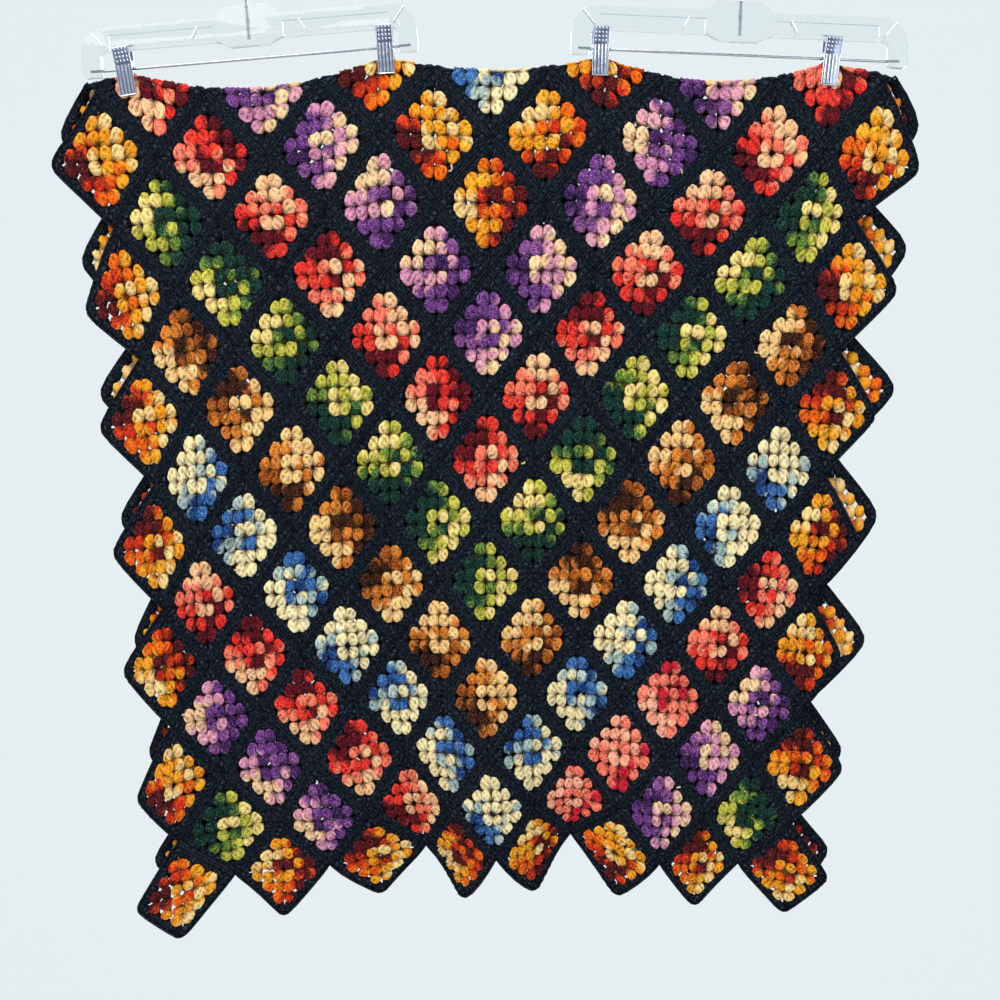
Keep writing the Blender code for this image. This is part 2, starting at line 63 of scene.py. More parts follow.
# Row by row: the height at column 0, the squares' pitch and centre, and how much the row
# drops per column squared, rises per column and spreads per column cubed.
HANG_COLUMNS = ("row", "height", "pitch", "centre", "droop", "lean", "spread")
HANG = np.array(
    (
        (0, -136.0, 60.2, -1.1, 0.80, 0.2, -0.01),
        (1, -192.5, 59.8, -1.1, 0.72, 0.3, -0.03),
        (3, -339.7, 55.8, -3.5, 0.51, 0.2, -0.02),
        (5, -472.8, 51.9, -5.0, 0.45, 0.8, 0.0),
        (7, -606.3, 50.8, -6.4, 0.42, 0.9, 0.0),
        (9, -728.9, 48.8, -6.4, 0.49, 1.2, 0.0),
        (11, -848.0, 45.2, -3.0, 0.46, 1.1, 0.045),
        (12, -906.0, 43.5, 0.5, 0.52, 1.0, 0.055),
        (13, -953.5, 42.3, 3.5, 0.62, 1.0, 0.06),
        (14, -998.0, 42.3, 3.5, 0.65, 1.1, 0.06),
    )
)
# The hem's folds: their depth, the columns from one to the next and over which they die away,
# and the rows over which they grow. Where a fold comes forward, the hem dips.
WAVE_DEPTH, WAVE_COLUMNS, WAVE_FADE, WAVE_ROWS = 22.0, 4.0, 4.5, (5.0, 13.0)
HEM_DIP, HEM_ROWS = 0.5, (10.5, 13.5)
# The sheet's slow unevenness: its depth, radians per column and per row, and where it grows.
BILLOW, BILLOW_PER_COLUMN, BILLOW_PER_ROW, BILLOW_ROWS = 5.0, 0.55, 0.35, (1.0, 6.0)
# How far the side points turn back and draw in, and where that begins and grows.
EDGE_CURL, EDGE_NARROWING, EDGE_COLUMN, EDGE_ROWS = 14.0, 10.0, 6.4, (0.5, 2.0)
CORNER_SWING = ((-7, -22.0, -17.0), (7, -2.0, 0.0))  # a hem corner's column, shift in X and Z
CORNER_REACH = 1.15  # half diagonals from its middle that a swung corner takes in
# Small shifts of the cloth: column, row, shift in X and Z. A shift dies away round its place.
NUDGES = {
    "front": (
        (-8, 1, -13, 9), (-8, 3, -4, -9), (-8, 5, -9, 0), (-8, 7, -2, 0), (-8, 9, -6, 4),
        (-8, 11, 1, -14), (-8, 13, -2, 0), (-7, 4, 5, 0), (-7, 6, 9, 0), (-7, 8, 8, 0),
        (-7, 10, 2, 0), (-7, 12, -9, -3), (-7, 14, 6, 5), (-6, 13, -8, 0), (-5, 14, -3, -6),
        (-4, 13, -1, 6), (-3, 14, 8, 8), (-2, 13, 9, -3), (-1, 14, 7, -4), (0, 13, 0, 9),
        (2, 13, -5, 7), (3, 14, 0, -2), (5, 14, -7, -5), (6, 13, -7, 0), (7, 14, -8, 1),
        (8, 1, 2, 0), (7, 2, -9, 4), (8, 3, 10, 8), (7, 4, -3, 0), (8, 5, 9, 0),
        (7, 6, -3, 0), (8, 7, 2, 0), (7, 8, -6, 1), (8, 11, 4, -1), (7, 12, -5, 0),
    ),
    "back": (
        (-8, 3, -8, 7), (-8, 5, -11, 0), (-8, 7, 3, 0), (-8, 9, 5, 0), (-8, 11, 11, 0),
        (-8, 13, -4, 0), (-7, 4, 8, 0), (-7, 6, 11, 0), (-7, 8, 6, 0), (8, 1, -9, 0),
        (7, 2, -4, 0), (8, 3, 12, 19), (7, 4, -8, -8), (8, 5, 14, -2), (7, 6, -10, -9),
        (8, 7, 2, 0), (7, 8, -10, -6), (8, 9, 7, 0), (7, 10, -8, -5), (8, 11, -4, 0),
        (7, 12, -5, -2), (8, 13, -3, 13),
    ),
}
NUDGE_REACH = 1.0
# How far the back layer's right side swings out and drops, and where both grow.
BACK_SWING, BACK_DROP, BACK_COLUMNS, BACK_ROWS = 24.0, 18.0, (1.0, 8.0), (4.0, 9.0)
# The pinched cloth's half width and where it is free, in columns, and the same in rows.
GRIP_COLUMNS, GRIP_FADE, GRIP_ROWS, GRIP_ROWS_FADE = 0.27, 0.85, 0.5, 1.15
# The back layer slips a little against the front, so their gaps don't line up.
SLIP, SLIP_ROWS, SLIP_COLUMNS = (5.5, 6.0), (1.0, 3.0), (5.0, 6.2)

# The middle of each hanger's bar, X and Z, and its lean in degrees, right end up.
HANGERS = {"left": (-255.5, -115.4, 4.85), "right": (261.3, -111.4, -2.47)}
# Each clip's name, hanger, place along the bar, own lean, and the fold's drop below the bar.
CLIPS = (
    ("clip_1", "left", -133.6, 9.8, 7.4),
    ("clip_2", "left", 143.0, 3.7, 13.8),
    ("clip_3", "right", -146.4, -1.8, 12.0),
    ("clip_4", "right", 98.0, -6.8, 7.6),
)
JAW_TIP, JAW_BEND, JAW_TOP = -29.7, 3.5, 21.3  # heights above the bar
JAW_FLARE = 4.0  # how far a jaw's top stands out from its straight part
JAW_HALF_WIDTH, JAW_THICKNESS, JAW_GAP = 8.75, 1.0, 0.3
JAW_INSIDE = GRIPPED_RADIUS + SEAM_THICKNESS / 2 + JAW_GAP


def smooth(value, low, high):
    t = np.clip((value - low) / (high - low), 0.0, 1.0)
    return t * t * (3 - 2 * t)


def hang_at(row):
    """The columns of HANG at any rows, on smooth curves through the table's rows."""
    rows = HANG[:, 0]
    row = np.clip(row, rows[0], rows[-1])
    k = np.clip(np.searchsorted(rows, row, side="right") - 1, 0, len(rows) - 2)
    span = rows[k + 1] - rows[k]
    t = (row - rows[k]) / span
    before = np.maximum(np.arange(len(rows)) - 1, 0)
    after = np.minimum(np.arange(len(rows)) + 1, len(rows) - 1)
    found = {}
    for column, name in enumerate(HANG_COLUMNS[1:], 1):
        values = HANG[:, column]
        slope = (values[after] - values[before]) / (rows[after] - rows[before])
        found[name] = (
            values[k] * (1 + 2 * t) * (1 - t) ** 2
            + slope[k] * span * t * (1 - t) ** 2
            + values[k + 1] * t * t * (3 - 2 * t)
            - slope[k + 1] * span * t * t * (1 - t)
        )
    return found


def on_hanger(hanger, along):
    x, z, lean = HANGERS[hanger]
    turn = math.radians(lean)
    return x + along * math.cos(turn), z + along * math.sin(turn)


def grips():
    """Each clip's column on the fold, and the height of the fold's top edge there."""
    found = []
    at_fold = hang_at(0.0)
    for _, hanger, along, lean, fold_below in CLIPS:
        x, z = on_hanger(hanger, along)
        turn = math.radians(lean)
        middle = (fold_below - JAW_TIP) / 2
        column = (x + middle * math.sin(turn) - at_fold["centre"]) / at_fold["pitch"]
        found.append((column, z - fold_below * math.cos(turn)))
    return found


GRIPS = grips()


def fold_row(column):
    return FOLD_ROW + FOLD_BOW * column * column


def fold_line(column):
    """The height of straight lines between the grips, and the sag under them."""
    stops = np.array([FOLD_ENDS[0], *GRIPS, FOLD_ENDS[1]])
    last = len(stops) - 2
    k = np.clip(np.searchsorted(stops[:, 0], column, side="right") - 1, 0, last)
    start = stops[k, 0] + np.where(k > 0, GRIP_COLUMNS / 2, 0)
    end = stops[k + 1, 0] - np.where(k < last, GRIP_COLUMNS / 2, 0)
    t = np.clip((column - start) / (end - start), 0.0, 1.0)
    return stops[k, 1] + (stops[k + 1, 1] - stops[k, 1]) * t, SAGS[k] * 4 * t * (1 - t)


def pinch(column, from_fold):
    """1 where a clip grips the cloth, and 0 where nothing does."""
    beside = np.min([np.abs(column - grip[0]) for grip in GRIPS], axis=0)
    across = 1 - smooth(beside, GRIP_COLUMNS, GRIP_FADE)
    return across * (1 - smooth(np.abs(from_fold), GRIP_ROWS, GRIP_ROWS_FADE))


def corner_share(column, row, corner):
    """How far a point of a hem corner's square lies from the side that holds it, 0 to 1."""
    outward = (column - corner) * (1 if corner > 0 else -1)
    down = row - ROWS
    inside = np.abs(outward) + np.abs(down) <= CORNER_REACH
    return np.where(inside, np.maximum(outward + down + 1, 0.0) / 2, 0.0)


def hung(column, lattice_row):
    """The middle of the cloth, in mm, at columns and rows of the lattice."""
    from_fold = lattice_row - fold_row(column)
    reach = np.abs(from_fold)
    side = np.where(from_fold >= 0, -1.0, 1.0)
    row = reach + fold_row(column)
    at = hang_at(row)
    x = at["centre"] + at["pitch"] * column + at["spread"] * column**3
    radius = FOLD_RADIUS - (FOLD_RADIUS - GRIPPED_RADIUS) * pinch(column, from_fold)
    bend = np.minimum(reach / FOLD_REACH, 1.0) * math.pi / 2
    y = side * radius * np.sin(bend)

    def height(line):
        return line["height"] - line["droop"] * column**2 + line["lean"] * column

    line, sag = fold_line(column)
    top = line - sag - radius * (1 - np.cos(bend))
    straight = (reach - FOLD_REACH) / (1 - fold_row(column) - FOLD_REACH)
    below = height(hang_at(np.ones_like(row))) - sag * (1 - 1 / SAG_ROWS)
    z = np.where(
        row < 1,
        top + (below - top) * np.maximum(straight, 0.0),
        height(at) - sag * np.maximum(1 - row / SAG_ROWS, 0.0),
    )
    fold = np.cos(2 * np.pi * column / WAVE_COLUMNS) * np.exp(-((column / WAVE_FADE) ** 2))
    forward = WAVE_DEPTH * fold * smooth(row, *WAVE_ROWS)
    slow = np.sin(BILLOW_PER_COLUMN * column + BILLOW_PER_ROW * row)
    y += BILLOW * slow * smooth(row, *BILLOW_ROWS) - forward
    z -= HEM_DIP * forward * smooth(row, *HEM_ROWS)

    curled = np.maximum(np.abs(column) - EDGE_COLUMN, 0.0) / (COLUMNS + 1 - EDGE_COLUMN)
    y += EDGE_CURL * curled**2 * smooth(row, *EDGE_ROWS)
    x -= np.copysign(EDGE_NARROWING * curled**2, column)
    front = side < 0
    for corner, shift_x, shift_z in CORNER_SWING:
        share = np.where(front, corner_share(column, row, corner), 0.0)
        x += shift_x * share
        z += shift_z * share
    for layer, shown in (("front", front), ("back", ~front)):
        for at_column, at_row, shift_x, shift_z in NUDGES[layer]:
            below = np.abs(lattice_row) - at_row
            apart = ((column - at_column) ** 2 + below**2) / NUDGE_REACH**2
            share = np.where(shown, np.exp(-apart) * smooth(row, 0.0, 1.0), 0.0)
            x += shift_x * share
            z += shift_z * share
    outward = np.where(front, 0.0, smooth(column, *BACK_COLUMNS))
    down = np.clip(row / (ROWS + 1), 0.0, 1.0)
    x += BACK_SWING * outward * np.sin(math.pi * down) ** 2
    z -= BACK_DROP * outward * smooth(row, *BACK_ROWS)
    slip = smooth(row, *SLIP_ROWS) * (1 - smooth(np.abs(column), *SLIP_COLUMNS))
    x += np.where(front, 0.0, SLIP[0] * slip)
    z += np.where(front, 0.0, SLIP[1] * slip)
    return np.stack([x, y, z], -1)


def thinning(column, row):
    """What share of its lift a stitch keeps: less where a clip grips the cloth."""
    thin = SEAM_THICKNESS / THICKNESS
    return 1 - (1 - thin) * pinch(column, row - fold_row(column))


SLOPE_STEP = 0.01  # columns and rows


def cloth_frame(column, row):
    """The cloth's middle, its slopes per column and per row, and its right side's normal."""
    middle = hung(column, row)
    per_column = hung(column + SLOPE_STEP, row) - hung(column - SLOPE_STEP, row)
    per_row = hung(column, row + SLOPE_STEP) - hung(column, row - SLOPE_STEP)
    per_column, per_row = per_column / (2 * SLOPE_STEP), per_row / (2 * SLOPE_STEP)
    normal = np.cross(per_row, per_column)
    normal /= np.linalg.norm(normal, axis=-1, keepdims=True)
    return middle, per_column, per_row, normal


# ---------------- the squares

EDGING = 0.03  # how far the edge stitches reach past the lattice, in half sides
ROUND_CORNER = 0.32  # radius of a free corner, in half sides
EDGE_BLEND, END_BLEND = (0.8, 1.0), (0.75, 1.0)  # where the edging grows and ends, in half sides
SIDES = ((1, 1), (-1, 1), (-1, -1), (1, -1))  # neighbour across u+, v+, u-, v-


def lattice():
    """Columns and rows of the squares, and which of their four sides are free."""
    squares = [
        (i, j)
        for i in range(-COLUMNS, COLUMNS + 1)
        for j in range(-ROWS, ROWS + 1)
        if (i + j) % 2 == 0
    ]
    known = set(squares)
    free = [[(i + di, j + dj) not in known for di, dj in SIDES] for i, j in squares]
    return np.array(squares), np.array(free)


SQUARES, FREE = lattice()


def edged(u, v, free):
    """u and v with the edging added along free sides and free corners rounded.

    free is a square's four flags, shaped to broadcast against u and v.
    """
    right, top, left, bottom = (free[..., k] for k in range(4))
    near = np.where(u > 0, right, left), np.where(v > 0, top, bottom)
    away = np.abs(u), np.abs(v)
    straight = 1 + EDGING - ROUND_CORNER
    wide, turn = [], []
    for k in (0, 1):
        grown = EDGING * near[k] * smooth(away[k], *EDGE_BLEND)
        ended = np.where(near[1 - k], 1.0, 1 - smooth(away[1 - k], *END_BLEND))
        wide.append(away[k] + grown * ended)
        turn.append(np.clip((wide[k] - straight) / ROUND_CORNER, 0, 1) * (near[0] & near[1]))
    drawn_u, drawn_v = (turn[k] * (1 - np.sqrt(1 - turn[1 - k] ** 2 / 2)) for k in (0, 1))
    u = np.sign(u) * (wide[0] - drawn_u * ROUND_CORNER)
    return u, np.sign(v) * (wide[1] - drawn_v * ROUND_CORNER)


def in_squares(chosen, u, v):
    """Columns and rows of points given by u and v in the chosen squares, with their edging."""
    squares, free = SQUARES[chosen][:, None, None, :], FREE[chosen][:, None, None, :]
    u, v = edged(u, v, free)
    return squares[..., 0] + (u - v) / 2, squares[..., 1] + (u + v) / 2


# Cross-sections of a strand: across it in the cloth, and up off the cloth.
ROUND = np.array(((1.0, 0.0), (0.0, 1.0), (-1.0, 0.0), (0.0, -1.0)))
RIDGED = np.array(((0.9, -0.5), (0.0, 1.0), (-0.9, -0.5)))
UNDER = np.array(((0.9, 0.5), (-0.9, 0.5), (0.0, -1.0)))


def strands(chosen, u, v, lift, across, high, section, dye_and_shade):
    """Closed strands of yarn in the chosen squares.

    u, v and lift (mm) are their middle lines, across (in half sides) and high (mm) their half
    sizes, all shaped (squares, strands, rings). Their colour, with any painted light and shade in
    it, has three more values.
    """
    shape = np.broadcast_shapes((len(chosen), 1, 1), u.shape)
    u, v, lift, across, high = (np.broadcast_to(a, shape) for a in (u, v, lift, across, high))
    along_u, along_v = np.gradient(u, axis=2), np.gradient(v, axis=2)
    length = np.maximum(np.hypot(along_u, along_v), 1e-9)
    side_u, side_v = -along_v / length, along_u / length
    column, row = in_squares(chosen, u, v)
    middle, per_column, per_row, normal = cloth_frame(column, row)
    side = per_column * ((side_u - side_v) / 2)[..., None]
    side = side + per_row * ((side_u + side_v) / 2)[..., None]
    keep = thinning(column, row)
    rise = lift[..., None] + high[..., None] * section[:, 1]
    points = (
        middle[..., None, :]
        + side[..., None, :] * (across[..., None] * section[:, 0])[..., None]
        + normal[..., None, :] * (rise * keep[..., None])[..., None]
    )
    steps = np.linalg.norm(np.diff(middle, axis=2), axis=-1)
    run = np.concatenate([np.zeros((*shape[:2], 1)), np.cumsum(steps, axis=2)], axis=2)
    dye_and_shade = np.broadcast_to(dye_and_shade, (*shape, 3))
    run, dye_and_shade = run.reshape(-1, shape[2]), dye_and_shade.reshape(-1, shape[2], 3)
    return points.reshape(-1, *points.shape[2:]), run, dye_and_shade


def woven(name, groups, material):
    """One object from groups of strands."""
    points, dyes_and_shades, corners, counts, maps = [], [], [], [], []
    base = 0
    for place, run, dye_and_shade in groups:
        count, rings, around = place.shape[:3]
        index = base + np.arange(count * rings * around).reshape(count, rings, around)
        base += index.size
        points.append(place.reshape(-1, 3))
        dyes_and_shades.append(np.repeat(dye_and_shade[:, :, None, :], around, axis=2).reshape(-1, 3))
        after = np.roll(index, -1, axis=2)
        walls = np.stack([index[:, :-1], index[:, 1:], after[:, 1:], after[:, :-1]], -1)
        corners.append(walls.reshape(-1))
        counts.append(np.full(walls.size // 4, 4))
        turn = np.arange(around) / around
        spun = np.broadcast_to(turn, walls.shape[:3])
        low = np.broadcast_to(run[:, :-1, None], walls.shape[:3])
        high = np.broadcast_to(run[:, 1:, None], walls.shape[:3])
        spun_on = spun + 1 / around
        maps.append(
            np.stack([spun, low, spun, high, spun_on, high, spun_on, low], -1).reshape(-1, 2)
        )
        for cap in (index[:, 0], index[:, -1, ::-1]):
            corners.append(cap.reshape(-1))
            counts.append(np.full(count, around))
            maps.append(np.zeros((cap.size, 2)))
    points, dyes_and_shades = np.concatenate(points) * MM, np.concatenate(dyes_and_shades)
    corners, counts, maps = (np.concatenate(x) for x in (corners, counts, maps))
    return solid(name, points, dyes_and_shades, corners, counts, maps, material)


def solid(name, points, dyes_and_shades, corners, counts, maps, material):
    """An object of yarn from points in metres, faces' corners in a row, and their maps."""
    mesh = bpy.data.meshes.new(name)
    mesh.vertices.add(len(points))
    mesh.vertices.foreach_set("co", points.astype(np.float32).ravel())
    mesh.loops.add(len(corners))
    mesh.polygons.add(len(counts))
    starts = np.concatenate([[0], np.cumsum(counts)[:-1]])
    mesh.polygons.foreach_set("loop_start", starts.astype(np.int32))
    mesh.polygons.foreach_set("vertices", corners.astype(np.int32))
    mesh.update(calc_edges=True)
    mesh.uv_layers.new(name="yarn").data.foreach_set("uv", maps.astype(np.float32).ravel())
    return of_yarn(mesh, dyes_and_shades, material)


def of_yarn(mesh, dyes_and_shades, material):
    """The object of a finished mesh, with its points' linear colours, painted light and shade
    included, as a colour attribute.
    """
    mesh.shade_smooth()
    layer = mesh.color_attributes.new("dye_and_shade", "FLOAT_COLOR", "POINT")
    rgba = np.concatenate([dyes_and_shades, np.ones((len(dyes_and_shades), 1))], axis=1)
    layer.data.foreach_set("color", rgba.astype(np.float32).ravel())
    mesh.materials.append(material)
    made = add_object(mesh.name, mesh)
    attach(made, "root")
    return made


def add_object(name, data):
    made = bpy.data.objects.new(name, data)
    bpy.context.scene.collection.objects.link(made)
    return made


# ---------------- yarn colours


def linear(hex_colour):
    """An sRGB hex value as linear red, green and blue."""
    shown = np.array([int(hex_colour[k : k + 2], 16) for k in (1, 3, 5)]) / 255
    return np.where(shown <= 0.04045, shown / 12.92, ((shown + 0.055) / 1.055) ** 2.4)


# Each variegated yarn's repeat: the colours in turn, and how many trebles each one lasts.
YARNS = {
    "orange": (
        ("#eecb8e", 5), ("#e6a42a", 5), ("#e47012", 4), ("#c63a14", 3),
        ("#601318", 6), ("#cc4618", 2), ("#e69c22", 5),
    ),
    "purple": (
        ("#ecc8a0", 6), ("#cf94ae", 5), ("#78478a", 7),
        ("#4a2860", 4), ("#8a5690", 4), ("#dba4b0", 4),
    ),
    "red": (
        ("#f0be94", 8), ("#ee8068", 5), ("#dc4034", 5),
        ("#660c1c", 7), ("#d8362c", 3), ("#f08468", 3),
    ),
    "coral": (("#fcb096", 9), ("#f6846e", 8), ("#c4263e", 5), ("#f48a72", 6)),
    "green": (
        ("#e9d18c", 6), ("#bfba54", 5), ("#6f8a3c", 3),
        ("#103c32", 11), ("#587a3c", 2), ("#bcb84c", 3),
    ),
    "brown": (("#f0c68c", 11), ("#d08636", 5), ("#a05a1c", 4), ("#45200f", 6), ("#c47a30", 4)),
    "blue": (("#f0dcb0", 14), ("#b4c2ba", 3), ("#4474aa", 5), ("#1e4880", 3), ("#a2b6b4", 3)),
}
BLACK = linear("#212833")
BLEND = 0.9  # trebles over which one colour turns to the next
LONGEST_REPEAT = 30  # trebles; a square's yarn starts anywhere in it
# The yarns of the rings of squares, from the middle of the blanket out.
RING_YARNS = ("blue", "orange", "purple", "red", "green", "brown", "blue", "red", "purple", "green")
CORAL_SQUARES = ((2, 12), (3, 11), (4, 10))


def yarn_of(column, row):
    """The rings of colour run out from the middle square; all edge squares are orange."""
    if abs(column) == COLUMNS or abs(row) == ROWS:
        return "orange"
    if (column, row) in CORAL_SQUARES:
        return "coral"
    return RING_YARNS[(abs(column) + abs(row)) // 2]


def dyed(yarn, place):
    """The yarn's linear colour at places along it, in trebles."""
    stops, colours, at = [], [], 0.0
    for colour, lasts in YARNS[yarn]:
        stops += [at + BLEND / 2, at + lasts - BLEND / 2]
        colours += [linear(colour)] * 2
        at += lasts
    colours = np.array(colours)
    return np.stack([np.interp(place, stops, colours[:, k], period=at) for k in range(3)], -1)


# ---------------- clusters of trebles

STEP = 0.22  # from one round's clusters to the next, in half sides
STEP_MM = 9.2  # the same on relaxed cloth
ROUNDS, TREBLES = 3, 3  # of clusters in a square, and in a cluster
# A cluster of three trebles is one shell. Across it, three crowns with creases between them;
# row by row from its foot out to its top, the width and bow of the row in STEPs, the heights
# of crowns and creases in mm, and the painted light of each, 1 being the yarn's own: crowns
# painted lighter as painted highlight, creases darker as painted shade, and the foot row nearly
# black and the top row darker, painted shade in the gaps between shells.
ACROSS = np.array((-1.0, -0.67, -0.34, 0.0, 0.34, 0.67, 1.0))
CROWN = np.array((0, 1, 0, 1, 0, 1, 0))
RIM = np.array((1, 0, 0, 0, 0, 0, 1))
SHELL = np.array(
    (
        # outward, half width, bow, crown, crease, crown's painted light, crease's painted shade
        (-0.94, 0.26, 0.00, 0.3, 0.0, 0.10, 0.08),
        (-0.66, 0.46, 0.00, 2.0, 1.0, 0.66, 0.36),
        (-0.40, 0.66, 0.03, 2.6, 1.2, 1.05, 0.76),
        (-0.08, 0.82, 0.08, 3.2, 2.2, 1.20, 0.90),
        (0.20, 0.88, 0.14, 3.0, 1.4, 1.10, 0.76),
        (0.50, 0.80, 0.20, 3.4, 2.6, 1.32, 1.00),
        (0.76, 0.52, 0.24, -0.2, -0.4, 0.84, 0.62),
    )
)
BOW_WIDTH = 0.85  # the half width that a row's bow is given for
# The shell's sides: their height in mm, and their painted light as a share of the yarn's colour.
EDGE_HEIGHT, EDGE_PAINTED_LIGHT = -0.2, 0.9
FLAT_TURN = 0.75  # of the yarn's twist, from a shell's middle to its side, in its flat map
FIRST_FOOT = -0.74  # where a first-round cluster starts, short of the middle hole
BACK_SPINE, BACK_PAINTED_LIGHT = -2.2, 1.1  # the middle of its wrong side, in mm, and the painted light that lifts that side's colour
TOP_PAINTED_LIGHT = 0.95  # the most that the painted light lifts a colour to
DYE_OUTWARD = 0.3  # trebles of yarn that its dye moves on, from a row's place out by a STEP
# How much shells differ: in tilt, size, place and points, in their crowns as a share, in height
# in mm, in their place along the yarn in trebles, in their creases' painted shade, and in tone at
# random by shell and by point.
LOOSE_TILT, LOOSE_SIZE, LOOSE_PLACE, LOOSE_POINT = 0.25, 0.12, 0.10, 0.03
LOOSE_CROWN, LOOSE_LIFT, LOOSE_SPINE = 0.08, 0.45, 0.3
LOOSE_DYE, LOOSE_CREASE, LOOSE_TONE, LOOSE_SPECK = 0.45, 0.6, 0.06, 0.12


def clusters():
    """Each cluster's round, place along its side in STEPs, side, and order along the yarn."""
    found = []
    for n in range(1, ROUNDS + 1):
        for side in range(4):
            for t in range(1 - n, n, 2):
                found.append((n, t, side, len(found)))
    return np.array(found)


def turned(outward, sideways, side):
    """u and v of a place given outward and sideways on one of a square's four sides."""
    cos, sin = np.array((1, 0, -1, 0))[side], np.array((0, 1, 0, -1))[side]
    return outward * cos - sideways * sin, outward * sin + sideways * cos


def coloured_squares(yarn, chosen, material):
    """All the squares of one yarn: 24 clusters each, as one object."""
    n, t, side, order = (c[None, :, None, None] for c in clusters().T)
    many = len(chosen)
    rows, columns = len(SHELL), len(ACROSS)
    shape = (many, n.size, rows, columns)

    def loose(amount, shape=(many, n.size, 1, 1)):
        return rng.uniform(-amount, amount, shape)

    outward, half, bow, crown, crease, crown_painted_light, crease_painted_shade = SHELL.T[:, None, None, :, None]
    tilt, size = loose(LOOSE_TILT), 1 + loose(LOOSE_SIZE)
    sideways = ACROSS * half + loose(LOOSE_POINT, shape)
    outward = outward - bow * (sideways / BOW_WIDTH) ** 2 + loose(LOOSE_POINT, shape)
    outward = np.where(n == 1, np.maximum(outward, FIRST_FOOT), outward)
    far = n * STEP + (loose(LOOSE_PLACE) + outward * size - sideways * tilt) * STEP
    beside = t * STEP + (loose(LOOSE_PLACE) + sideways * size + outward * tilt) * STEP
    u, v = turned(far, beside, side)
    height = np.where(CROWN == 1, crown * (1 + loose(LOOSE_CROWN, shape)), crease)
    height = np.where(RIM == 1, EDGE_HEIGHT, height)
    height[:, :, (0, -1)] = np.minimum(height[:, :, (0, -1)], EDGE_HEIGHT)
    height = height + loose(LOOSE_LIFT)
    start = rng.uniform(0, LONGEST_REPEAT, (many, 1, 1, 1))
    way = rng.choice((-1, 1), (many, 1, 1, 1))
    along = order * TREBLES + TREBLES / 2 * (ACROSS + 1) + DYE_OUTWARD * outward
    place = start + way * along + loose(LOOSE_DYE, shape)
    # Painted light and shade: crowns lighter, creases, feet and tops darker, the sides a little
    # under the yarn's own; then a random tone for each shell and each point.
    crease_painted_shade = crease_painted_shade * (1 + loose(LOOSE_CREASE, shape))
    painted_light = np.where(CROWN == 1, crown_painted_light, crease_painted_shade)
    painted_light = np.where(RIM == 1, EDGE_PAINTED_LIGHT, painted_light) * (1 + loose(LOOSE_TONE))
    painted_light = painted_light * (1 + loose(LOOSE_SPECK, shape))
    dye_and_shade = np.minimum(dyed(yarn, place) * painted_light[..., None], TOP_PAINTED_LIGHT)

    # The wrong side: one more point in the middle of each row but the first and the last.
    middle, spine = columns // 2, slice(1, rows - 1)

    def with_backs(right_side, backs):
        right_side = right_side.reshape(many, -1, rows * columns, *right_side.shape[4:])
        return np.concatenate([right_side, backs], 2)

    u, v = (with_backs(a, a[:, :, spine, middle]) for a in (u, v))
    low = np.broadcast_to(BACK_SPINE + loose(LOOSE_SPINE), (*shape[:2], rows - 2, 1))
    height = with_backs(height, low[..., 0])
    # Painted light: the wrong side's spine is lifted above the yarn's own colour.
    dye_and_shade = with_backs(dye_and_shade, BACK_PAINTED_LIGHT * dye_and_shade[:, :, spine, middle])
    column, row = in_squares(chosen, u, v)
    lay, _, _, normal = cloth_frame(column, row)
    points = lay + normal * (height * thinning(column, row))[..., None]

    faces = shell_faces(rows, columns)
    across = np.broadcast_to(ACROSS, (rows, columns)).ravel()
    along = np.repeat(SHELL[:, 0], columns) * STEP_MM
    flat = np.stack([FLAT_TURN * across, along], -1)
    flat = np.concatenate([flat, np.stack([0 * SHELL[spine, 0], SHELL[spine, 0] * STEP_MM], -1)])
    return shells(f"{yarn}_squares", points, dye_and_shade, faces, flat, material)


def shell_faces(rows, columns):
    """Corner indices of one shell's faces, with the right side's first."""
    index = np.arange(rows * columns).reshape(rows, columns)
    spine = [None, *range(rows * columns, rows * columns + rows - 2), None]
    faces = []
    for i in range(rows - 1):
        for k in range(columns - 1):
            faces.append([index[i, k], index[i, k + 1], index[i + 1, k + 1], index[i + 1, k]])
    for i in range(1, rows - 2):
        faces.append([index[i, 0], index[i + 1, 0], spine[i + 1], spine[i]])
        faces.append([index[i + 1, -1], index[i, -1], spine[i], spine[i + 1]])
    faces.append([*index[0, ::-1], index[1, 0], spine[1], index[1, -1]])
    faces.append([*index[-1], index[-2, -1], spine[-2], index[-2, 0]])
    return faces


def shells(name, points, dye_and_shade, faces, flat, material):
    """One object from many shells of the same make, each with its own points and colours."""
    size = points.shape[-2]
    points, dye_and_shade = points.reshape(-1, 3) * MM, dye_and_shade.reshape(-1, 3)
    count = len(points) // size
    base = np.arange(count)[:, None] * size
    one = np.concatenate(faces)
    corners = (base + one[None, :]).ravel()
    counts = np.tile([len(face) for face in faces], count)
    maps = np.tile(flat[one], (count, 1))
    return solid(name, points, dye_and_shade, corners, counts, maps, material)


# ---------------- black rounds and seams

# Places and widths are in half sides, heights and thicknesses in mm.
NET_INSIDE = 0.72  # where the black net under the outer round begins
NET_STEPS = 6
# The net's thickness in mm, and its colour as a share of black's: painted shade, as it lies under
# the stitches.
NET_THICKNESS, NET_PAINTED_SHADE = 2.2, 0.4
BORDER_TREBLES, BORDER_END = 13, 0.9  # on each side of a square, and where the last one stands
BORDER_TOP, BORDER_FOOT, BORDER_WAVE = 0.92, 0.75, 0.06
FOOT_SHARE = 0.84  # of the trebles' spread, at their feet
